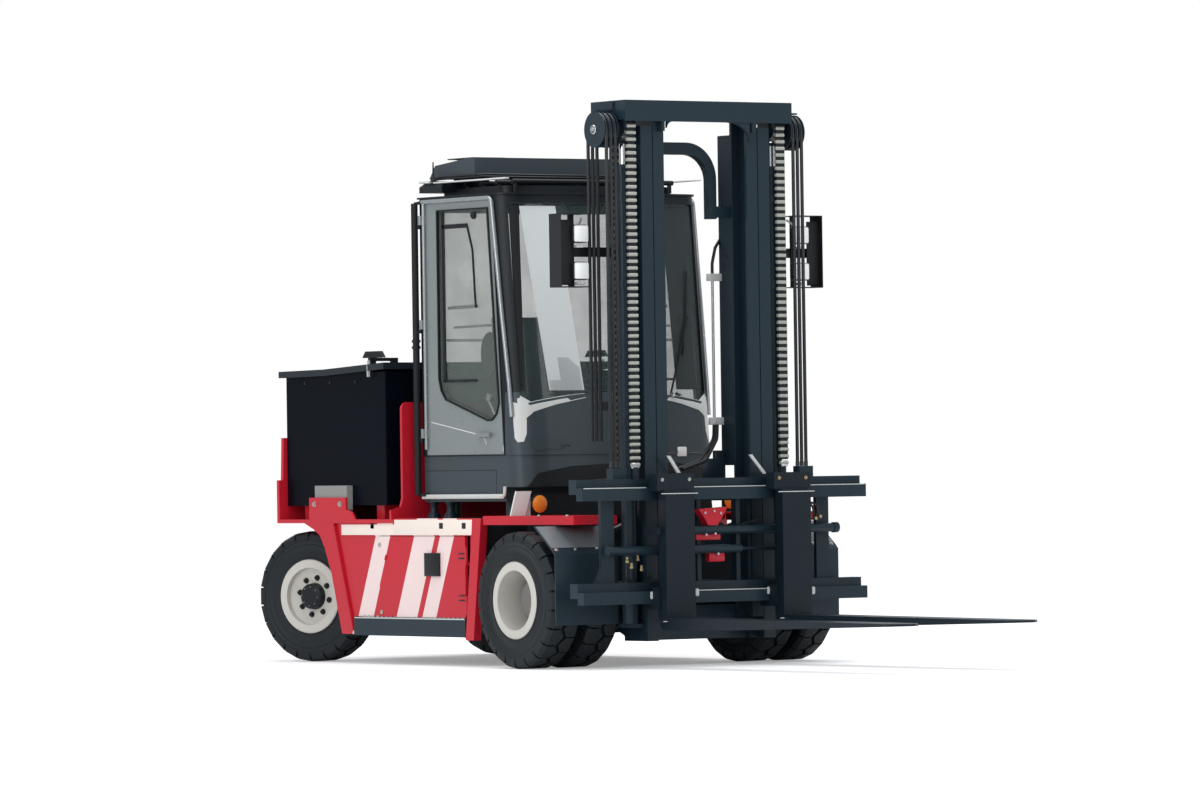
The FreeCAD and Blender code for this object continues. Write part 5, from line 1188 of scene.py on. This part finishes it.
def make_cab_base():
    (_, wide), (front, back), (low, _) = edges("cab_base")
    _, _, (_, body_top) = edges("body_sides")

    @piece("foot_rails", "chassis", "pale_grey")
    def rails(bm):
        for _, side in SIDES:
            x = side * (wide + 24)
            z = low + 136
            slab(bm, (x - 7, x + 7), (front + 214, back - 4), (z - 15, z + 15), 5)
            pipe(bm, [(x, front + 240, z), (x, front + 206, z + 4), (x, front + 200, z + 62)], 11,
                 24)
            for y in (back - 90, front + 300):
                pipe(bm, [(x, y, z), (side * (wide - 4), y, z)], 8)

    @piece("cab_arch", "chassis", "rubber")
    def arch(bm):
        upper = [(-752, 395, 1104), (-640, 360, 1222), (-400, 345, 1262), (-60, 340, 1276),
                 (400, 345, 1276), (700, 380, 1240)]
        lower = [(-752, 430, 1046), (-640, 380, 1046), (-400, 360, 1046), (-60, 350, 1046),
                 (400, 360, 1046), (700, 400, 1046)]
        strip_on(bm, "cab_base", upper, lower, 3, 6)

    @piece("cab_skirt", "chassis", "rubber")
    def skirt(bm):
        plate(bm, [(-757, body_top + 1), (757, body_top + 1), (745, low + 150), (-745, low + 150)],
              front + 110, front + 124, "Y")

    @piece("cab_mounts", "chassis", "slate")
    def mounts(bm):
        for _, side in SIDES:
            for y in (back - 46, back - 238):
                z = body_top
                turned(bm, (side * (wide - 36), y, z), [(0, 1), (0, 46), (16, 44), (40, 26),
                                                        (78, 24), (96, 34), (104, 34), (104, 1)],
                       "Z", 24)

    @piece("cab_base_seams", "chassis", "black")
    def seams(bm):
        for _, side in SIDES:
            slab(bm, (side * (wide - 1), side * (wide + 1)), (front + 330, back - 20),
                 (low + 300, low + 304), 0.5)
            slab(bm, (side * (wide - 1), side * (wide + 1)), (front + 330, front + 334),
                 (low + 110, low + 300), 0.5)


def make_roof():
    (_, wide), (front, back), (_, top) = edges("cab_roof")
    (_, unit), (unit_front, _), (_, unit_top) = edges("air_unit")

    @piece("roof_aerial", "chassis", "rubber")
    def aerial(bm):
        x, y = -wide + 30, back - 150
        turned(bm, (x, y, top - 22), [(0, 1), (0, 20), (22, 16), (34, 7), (96, 5), (128, 4),
                                      (128, 1)], "Z", 16)

    @piece("roof_cables", "chassis", "hose")
    def cables(bm):
        for k, z in enumerate((top + 8, top - 6)):
            pipe(bm, [(-wide + 60, back - 100, z), (-unit + 10, unit_front - 60 + 30 * k, z + 4),
                      (-200, unit_front - 90 + 20 * k, z), (unit - 60, unit_front - 60, z)], 7, 60)

    @piece("roof_caps", "chassis", "pale_grey")
    def caps(bm):
        for _, side in SIDES:
            slab(bm, (side * (wide - 96), side * (wide - 6)), (back - 130, back - 10),
                 (top - 30, top - 12), 8)
            slab(bm, (side * (wide - 60), side * (wide - 20)), (front + 40, back - 160),
                 (top - 34, top - 24), 4)

    seed = shape("rib_seed", lambda bm: slab(bm, (40 - unit, 300 - unit), (0, 12), (0, 8), 3), 40)
    row_of("air_unit_ribs", seed, 9, (0, unit_front + 90, unit_top - 2), (0, 34, 0), "roof_grey",
           "chassis")


# ----------------------------------------------------------------- body
def make_body():
    (_, wide), _, (_, body_top) = edges("body_sides")
    (hatch_x, _), (hatch_front, hatch_back), (hatch_low, hatch_top) = edges("side_hatch_right")
    hatch_x = abs(hatch_x)
    (_, step_x), (step_front, step_back), (_, step_top) = edges("side_steps")
    _, (tray_front, _), _ = edges("battery_tray")
    for name, side in SIDES:
        # A pale band along the top of each body side: painted reflection of the light on the sloped
        # glossy top edge of the red panel.
        @piece("cream_strip_" + name, "chassis", "strip")
        def strip(bm):
            x = side * (wide - 3)
            slab(bm, (x - side * 2, x + side * 2.5), (674, tray_front - 6),
                 (body_top - 106, body_top - 8), 1.5)
            slab(bm, (side * (wide - 12), side * (wide - 7)), (tray_front, 2205),
                 (body_top - 106, body_top - 38), 1.5)

        # Black patches where the strip has holes: painted shade for the dark inside of each hole.
        @piece("strip_holes_" + name, "chassis", "black")
        def holes(bm):
            for y in (764, 1024, 1838):
                x = side * (wide - (1 if y < tray_front else 9))
                slab(bm, (x - side * 2, x + side * 2), (y - 22, y + 22),
                     (body_top - 66, body_top - 28), 1.5)

        @piece("hatch_latches_" + name, "hatch_" + name, "zinc")
        def latches(bm):
            for y, z in ((hatch_back - 9, hatch_top - 56), (hatch_back - 22, hatch_low + 30)):
                x = side * 948
                turned(bm, (x, y, z), [(side * a, r) for a, r in
                                       ((-1, 1), (-1, 15), (5, 15), (8, 11), (8, 1))], "X", 18)
                slab(bm, (x + side * 8, x + side * 11), (y - 3, y + 3), (z - 9, z + 9), 1)

        # Thin black patches for the hinge slots beside each hatch: painted shade in the slots.
        @piece("hatch_hinge_slots_" + name, "chassis", "black")
        def hinge_marks(bm):
            for z in (700, 434):
                x = side * 957
                for k in range(2):
                    slab(bm, (x - side, x + side), (hatch_front + 20, hatch_front + 90),
                         (z - 20 + 30 * k, z - 12 + 30 * k), 1)

        # A black patch behind the louvres: painted shade inside the vent opening.
        @piece("hatch_vent_" + name, "hatch_" + name, "black")
        def vent(bm):
            slab(bm, (side * (hatch_x - 16), side * (hatch_x + 1)), (1048, 1212), (570, 718), 0.6)

        def louvre(bm):
            slab(bm, (side * (hatch_x - 4), side * (hatch_x + 3)), (1062, 1198), (0, 7), 1.5)
        row_of("hatch_louvres_" + name, shape("louvre_seed", louvre, 40), 8, (0, 0, 586),
               (0, 0, 16), "rubber", "hatch_" + name)

        def tooth(bm):
            foot = [(x, y, 0) for x in (8, 150) for y in (0, 34)]
            hull_in(bm, [at(side * (step_x - a), step_front + 30 + b, step_top - 2 + c)
                         for a, b, c in foot + [(x, y, 13) for x in (16, 142) for y in (8, 26)]])
        row_of("step_teeth_" + name, shape("tooth_seed", tooth, 40),
               int((step_back - step_front - 60) / 52), (0, 0, 0), (0, 52, 0), "steel", "chassis")

        @piece("step_edge_" + name, "chassis", "pale_grey")
        def step_edge(bm):
            slab(bm, (side * (step_x - 4), side * (step_x + 0.5)), (step_front + 6, step_back - 6),
                 (step_top - 9, step_top - 1), 1.5)
            for k in range(5):
                y = step_front + 130 + 240 * k
                plate(bm, [(y, step_top - 24), (y + 14, step_top - 24), (y + 74, step_top - 104),
                           (y + 60, step_top - 104)], side * (step_x - 1.5), side * (step_x - 0.5))

        @piece("fender_slope_" + name, "chassis", "slope")
        def slope(bm):
            strip_on(bm, "front_fenders", mirrored(side, [(1086, -232, 888), (605, -232, 888)]),
                     mirrored(side, [(1086, -400, 758), (605, -400, 758)]), 1.0, 2)

        slant = (math.pi / 2 - 0.907, 0, 0)
        bolts("fender_bolts_" + name,
              [(side * 950, -68, 951, "+Z"), (side * 950, -379, 951, "+Z"),
               (side * 1060, -414, 743, slant), (side * 914, -410, 746, slant),
               (side * 748, -406, 750, slant)], "chassis", "zinc", 17, 7)


def make_lamps():
    _, (front, _), (low, top) = edges("work_lights")
    _, (lamp_front, _), (lamp_low, _) = edges("front_lamps")
    for name, side in SIDES:
        @piece("work_lenses_" + name, "mast", "lens")
        def lenses(bm):
            for z in (low + 102, low + 332):
                x = side * 850
                slab(bm, (x - 52, x + 52), (front + 1, front + 14), (z - 50, z + 52), 10)

        @piece("work_brackets_" + name, "mast", "pale_grey")
        def brackets(bm):
            for z in (low + 24, low + 254):
                x = side * 846
                slab(bm, (x - 26, x + 30), (front + 20, front + 60), (z - 7, z + 8), 3)
                turned(bm, (x + 2, front + 16, z + 2), [(-6, 1), (-6, 9), (6, 10), (6, 1)], "Y", 8)

        @piece("work_cable_" + name, "mast", "pale_grey")
        def cable(bm):
            pipe(bm, [(side * 840, front + 70, low + 372), (side * 812, front + 66, low + 410),
                      (side * 790, front + 90, top - 26)], 7, 24)

        @piece("front_lamp_lens_" + name, "chassis", "amber")
        def amber(bm):
            x, z = side * 743, lamp_low + 72
            turned(bm, (x, lamp_front, z), [(-16, 1), (-15, 22), (-11, 42), (-3, 56), (4, 56),
                                            (4, 1)], "Y", 28)

        @piece("front_lamp_bezel_" + name, "chassis", "rubber")
        def bezel(bm):
            turned(bm, (side * 743, lamp_front, lamp_low + 72),
                   [(0, 40), (-4, 58), (-1, 64), (8, 64), (8, 40)], "Y", 28)

        @piece("work_backing_" + name, "mast", "rubber")
        def backing(bm):
            slab(bm, (side * 908, side * 1000), (front + 34, front + 40), (low + 14, low + 420), 2)


# ----------------------------------------------------------------- battery
def make_battery():
    (_, wide), _, (low, top) = edges("battery_box")
    (_, lid_x), (lid_front, _), (lid_low, lid_top) = edges("battery_lid")
    (_, tray_x), _, _ = edges("battery_tray")
    case, clamps = [], []
    for _, side in SIDES:
        way = "-X" if side < 0 else "+X"
        case += [(side * wide, y, top - 60, way) for y in (2093, 2395, 2700)]
        clamps += [(side * (tray_x + 0.5), y, low + 10, way) for y in (2202, 2512)]
    bolts("battery_bolts", case, "chassis", "slate", 14, 6)
    bolts("clamp_bolts", clamps, "chassis", "zinc", 26, 11)

    @piece("lid_handles", "lid", "rubber")
    def handles(bm):
        for _, side in SIDES:
            x = side * (lid_x - 60)
            plate(bm, [(lid_front + 80, lid_top - 2), (lid_front + 320, lid_top - 2),
                       (lid_front + 282, lid_top + 40), (lid_front + 118, lid_top + 40)],
                  x - 14, x + 14, "X")

    # Pale vertical lines on the lid's sides: painted highlights of a lid edge.
    @piece("lid_joints", "lid", "pale_grey")
    def joints(bm):
        for _, side in SIDES:
            slab(bm, (side * (lid_x - 22), side * (lid_x + 0.5)), (lid_front + 190, lid_front + 196),
                 (lid_low + 6, lid_top - 20), 1)


# ----------------------------------------------------------------- stage
def make_stage():
    look = bpy.context.scene.forklift_stage
    camera = bpy.data.cameras.new("camera")
    eye = add("camera", camera)
    bpy.context.scene.camera = eye
    camera.lens = look.lens
    camera.sensor_width, camera.clip_end = 36.0, 400.0
    turn, lift, roll = look.turn, look.lift, look.roll
    back = Vector((math.sin(turn) * math.cos(lift), -math.cos(turn) * math.cos(lift),
                   math.sin(lift)))
    right = Vector((0, 0, 1)).cross(back).normalized()
    up = back.cross(right)
    side = right * math.cos(roll) + up * math.sin(roll)
    top = up * math.cos(roll) - right * math.sin(roll)
    eye.matrix_world = (Matrix.Translation(Vector((look.eye[0], AXLE.y + look.eye[1], look.eye[2])))
                        @ Matrix((side, top, back)).transposed().to_4x4())

    floor_mesh = bpy.data.meshes.new("floor")
    r, near, far, drop = 60.0, 2.6, 6.5, 0.0005
    floor_mesh.from_pydata([(-r, -r, 0), (r, -r, 0), (r, r, 0), (-r, r, 0)], [], [(0, 1, 2, 3)])
    floor = add("floor", floor_mesh)
    floor.location.z = CAD_BOX[0].z - drop
    material, tree = blank("pale floor")
    rays = node(tree, "ShaderNodeLightPath").outputs
    reach = node(tree, "ShaderNodeVectorMath", {0: here(tree)}, operation="LENGTH")
    lift = ramp(tree, reach.outputs["Value"], near, far, look.floor_lift * 0.6,
                look.floor_lift * 1.1)
    surface(tree, {"Base Color": solid(look.floor), "Roughness": 0.85, "Specular IOR Level": 0.1,
                   "Emission Color": (1, 1, 1, 1),
                   "Emission Strength": maths(tree, "MULTIPLY", rays["Is Camera Ray"], lift)})
    floor_mesh.materials.append(material)

    world = bpy.data.worlds.new("studio")
    bpy.context.scene.world = world
    world.use_nodes = True
    tree = world.node_tree
    tree.nodes.clear()
    rays = node(tree, "ShaderNodeLightPath").outputs
    seen = maths(tree, "MAXIMUM", rays["Is Camera Ray"], rays["Is Transmission Ray"])
    plain, white = (node(tree, "ShaderNodeBackground", {"Color": colour, "Strength": strength})
                    for colour, strength in (((0.93, 0.96, 1.0, 1), look.sky),
                                             ((1, 1, 1, 1), 1.0)))
    both = node(tree, "ShaderNodeMixShader", {0: seen, 1: plain.outputs[0], 2: white.outputs[0]})
    node(tree, "ShaderNodeOutputWorld", {"Surface": both.outputs[0]})

    for name, place, size, power in (
            ("overhead", (0.0, 0.0, 9.0), 9.0, look.top_light),
            ("side", (-11.0, -3.0, 5.5), 6.0, look.side_light),
            ("front", (2.0, -13.0, 5.0), 5.0, look.front_light)):
        lamp = bpy.data.lights.new(name, "AREA")
        lamp.shape = "SQUARE"
        lamp.size = size
        lamp.energy = power
        lamp_obj = add(name, lamp)
        lamp_obj.location = place
        aim = Vector((0, 0, 1.2)) - Vector(place)
        lamp_obj.rotation_euler = aim.to_track_quat("-Z", "Y").to_euler()
    bpy.context.scene.view_settings.view_transform = "Standard"


# ----------------------------------------------------------------- add-on
class ForkliftColours(bpy.types.PropertyGroup):
    body_red: FloatVectorProperty(
        name="Body red", description="Enamel of the body, the tray and the hatches",
        default=(0.56, 0.012, 0.028), subtype="COLOR", min=0, max=1)
    mast_slate: FloatVectorProperty(
        name="Mast slate", description="Enamel of the mast, the carriage and the fenders",
        default=(0.013, 0.027, 0.038), subtype="COLOR", min=0, max=1)
    cab_silver: FloatVectorProperty(
        name="Cab silver", description="Enamel of the cab doors",
        default=(0.235, 0.265, 0.262), subtype="COLOR", min=0, max=1)
    rim_cream: FloatVectorProperty(
        name="Rim cream", description="Paint of the wheel rims",
        default=(0.60, 0.58, 0.53), subtype="COLOR", min=0, max=1)


class ForkliftTread(bpy.types.PropertyGroup):
    blocks: IntProperty(name="Blocks", description="Tread blocks in one row of a tyre",
                        default=22, min=12, max=40)
    tyre_width: FloatProperty(name="Tyre width", description="Width of every tyre",
                              subtype="DISTANCE", default=0.226, min=0.1)


class ForkliftStage(bpy.types.PropertyGroup):
    lens: FloatProperty(name="Lens", description="Focal length of the camera",
                        unit="CAMERA", default=213.68)
    turn: FloatProperty(name="Turn", description="The camera's place round the truck",
                        subtype="ANGLE", default=math.radians(-34.82))
    lift: FloatProperty(name="Lift", description="The camera's height angle",
                        subtype="ANGLE", default=math.radians(-0.47))
    roll: FloatProperty(name="Roll", description="The camera's tilt about its own axis",
                        subtype="ANGLE", default=math.radians(-0.83))
    eye: FloatVectorProperty(name="Eye", description="The camera's place from the front axle",
                             subtype="TRANSLATION", size=3,
                             default=(-25.9795, -36.7387, 1.305))
    floor: FloatVectorProperty(name="Floor", description="Colour of the floor",
                               subtype="COLOR", size=3, default=(0.92, 0.92, 0.93))
    floor_lift: FloatProperty(name="Floor lift", description="Light the floor shows by itself",
                              default=0.45, min=0)
    sky: FloatProperty(name="Sky", description="Strength of the plain light all round",
                       default=0.62, min=0)
    top_light: FloatProperty(name="Top light", description="Power of the overhead lamp",
                             subtype="POWER", default=620.0, min=0)
    side_light: FloatProperty(name="Side light", description="Power of the lamp to the right",
                              subtype="POWER", default=420.0, min=0)
    front_light: FloatProperty(name="Front light", description="Power of the lamp ahead",
                               subtype="POWER", default=200.0, min=0)


class ForkliftOperator:
    """What every step shares."""
    bl_options = {"REGISTER", "UNDO"}


class FORKLIFT_OT_paints(ForkliftOperator, bpy.types.Operator):
    """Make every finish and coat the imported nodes"""
    bl_idname = "forklift.paints"
    bl_label = "Paints"

    def execute(self, context):
        make_paints()
        return {"FINISHED"}


class FORKLIFT_OT_wheels(ForkliftOperator, bpy.types.Operator):
    """Make the treaded tyres and the wheel nuts"""
    bl_idname = "forklift.wheels"
    bl_label = "Wheels"

    def execute(self, context):
        make_wheels()
        return {"FINISHED"}


class FORKLIFT_OT_chains(ForkliftOperator, bpy.types.Operator):
    """Make the leaf chains of the mast"""
    bl_idname = "forklift.chains"
    bl_label = "Chains"

    def execute(self, context):
        make_chains()
        return {"FINISHED"}


class FORKLIFT_OT_hoses(ForkliftOperator, bpy.types.Operator):
    """Make the hoses over the outer pulleys"""
    bl_idname = "forklift.hoses"
    bl_label = "Hoses"

    def execute(self, context):
        make_hoses()
        return {"FINISHED"}


class FORKLIFT_OT_mast(ForkliftOperator, bpy.types.Operator):
    """Make the pipes and gussets of the mast"""
    bl_idname = "forklift.mast"
    bl_label = "Mast details"

    def execute(self, context):
        make_mast()
        return {"FINISHED"}


class FORKLIFT_OT_carriage(ForkliftOperator, bpy.types.Operator):
    """Make the bolts, pads and fittings of the carriage"""
    bl_idname = "forklift.carriage"
    bl_label = "Carriage details"

    def execute(self, context):
        make_carriage()
        return {"FINISHED"}


class FORKLIFT_OT_doors(ForkliftOperator, bpy.types.Operator):
    """Make the tubes, seals and sliding panes of the doors"""
    bl_idname = "forklift.doors"
    bl_label = "Doors"

    def execute(self, context):
        make_doors()
        return {"FINISHED"}


class FORKLIFT_OT_windscreen(ForkliftOperator, bpy.types.Operator):
    """Make the borders, trims and wipers of the windscreen"""
    bl_idname = "forklift.windscreen"
    bl_label = "Windscreen"

    def execute(self, context):
        make_windscreen()
        return {"FINISHED"}


class FORKLIFT_OT_cab_base(ForkliftOperator, bpy.types.Operator):
    """Make the rails, arch, skirt, mounts and seams round the cab's foot"""
    bl_idname = "forklift.cab_base"
    bl_label = "Cab base"

    def execute(self, context):
        make_cab_base()
        return {"FINISHED"}


class FORKLIFT_OT_roof(ForkliftOperator, bpy.types.Operator):
    """Make the cables, caps and aerial of the roof"""
    bl_idname = "forklift.roof"
    bl_label = "Roof"

    def execute(self, context):
        make_roof()
        return {"FINISHED"}


class FORKLIFT_OT_body(ForkliftOperator, bpy.types.Operator):
    """Make the strips, latches, louvres and step teeth"""
    bl_idname = "forklift.body"
    bl_label = "Body details"

    def execute(self, context):
        make_body()
        return {"FINISHED"}


class FORKLIFT_OT_lamps(ForkliftOperator, bpy.types.Operator):
    """Make the lenses and brackets of the lamps"""
    bl_idname = "forklift.lamps"
    bl_label = "Lamps"

    def execute(self, context):
        make_lamps()
        return {"FINISHED"}


class FORKLIFT_OT_battery(ForkliftOperator, bpy.types.Operator):
    """Make the bolts and handles of the battery"""
    bl_idname = "forklift.battery"
    bl_label = "Battery details"

    def execute(self, context):
        make_battery()
        return {"FINISHED"}


class FORKLIFT_OT_stage(ForkliftOperator, bpy.types.Operator):
    """Make the floor, the light and the camera"""
    bl_idname = "forklift.stage"
    bl_label = "Stage"

    def execute(self, context):
        make_stage()
        return {"FINISHED"}


STEPS = (FORKLIFT_OT_stage, FORKLIFT_OT_paints, FORKLIFT_OT_wheels,
         FORKLIFT_OT_chains, FORKLIFT_OT_hoses, FORKLIFT_OT_mast,
         FORKLIFT_OT_carriage, FORKLIFT_OT_doors, FORKLIFT_OT_windscreen,
         FORKLIFT_OT_cab_base, FORKLIFT_OT_roof, FORKLIFT_OT_body,
         FORKLIFT_OT_lamps, FORKLIFT_OT_battery)
SETTINGS = (("forklift_colours", ForkliftColours), ("forklift_tread", ForkliftTread),
            ("forklift_stage", ForkliftStage))


class FORKLIFT_PT_panel(bpy.types.Panel):
    """Lists the forklift's settings and its steps"""
    bl_label = "Forklift"
    bl_idname = "FORKLIFT_PT_panel"
    bl_space_type = "VIEW_3D"
    bl_region_type = "UI"
    bl_category = "Forklift"

    def draw(self, context):
        for name, group in SETTINGS:
            box = self.layout.box()
            for prop in group.__annotations__:
                box.prop(getattr(context.scene, name), prop)
        for step in STEPS:
            self.layout.operator(step.bl_idname)


CLASSES = tuple(group for _, group in SETTINGS) + STEPS + (FORKLIFT_PT_panel,)


def register():
    for cls in CLASSES:
        bpy.utils.register_class(cls)
    for name, group in SETTINGS:
        setattr(bpy.types.Scene, name, PointerProperty(type=group))


def unregister():
    for name, _ in SETTINGS:
        delattr(bpy.types.Scene, name)
    for cls in reversed(CLASSES):
        bpy.utils.unregister_class(cls)


def main():
    register()
    for step in STEPS:
        place, label = step.bl_idname.split(".")
        getattr(getattr(bpy.ops, place), label)()


if __name__ == "__main__":
    main()
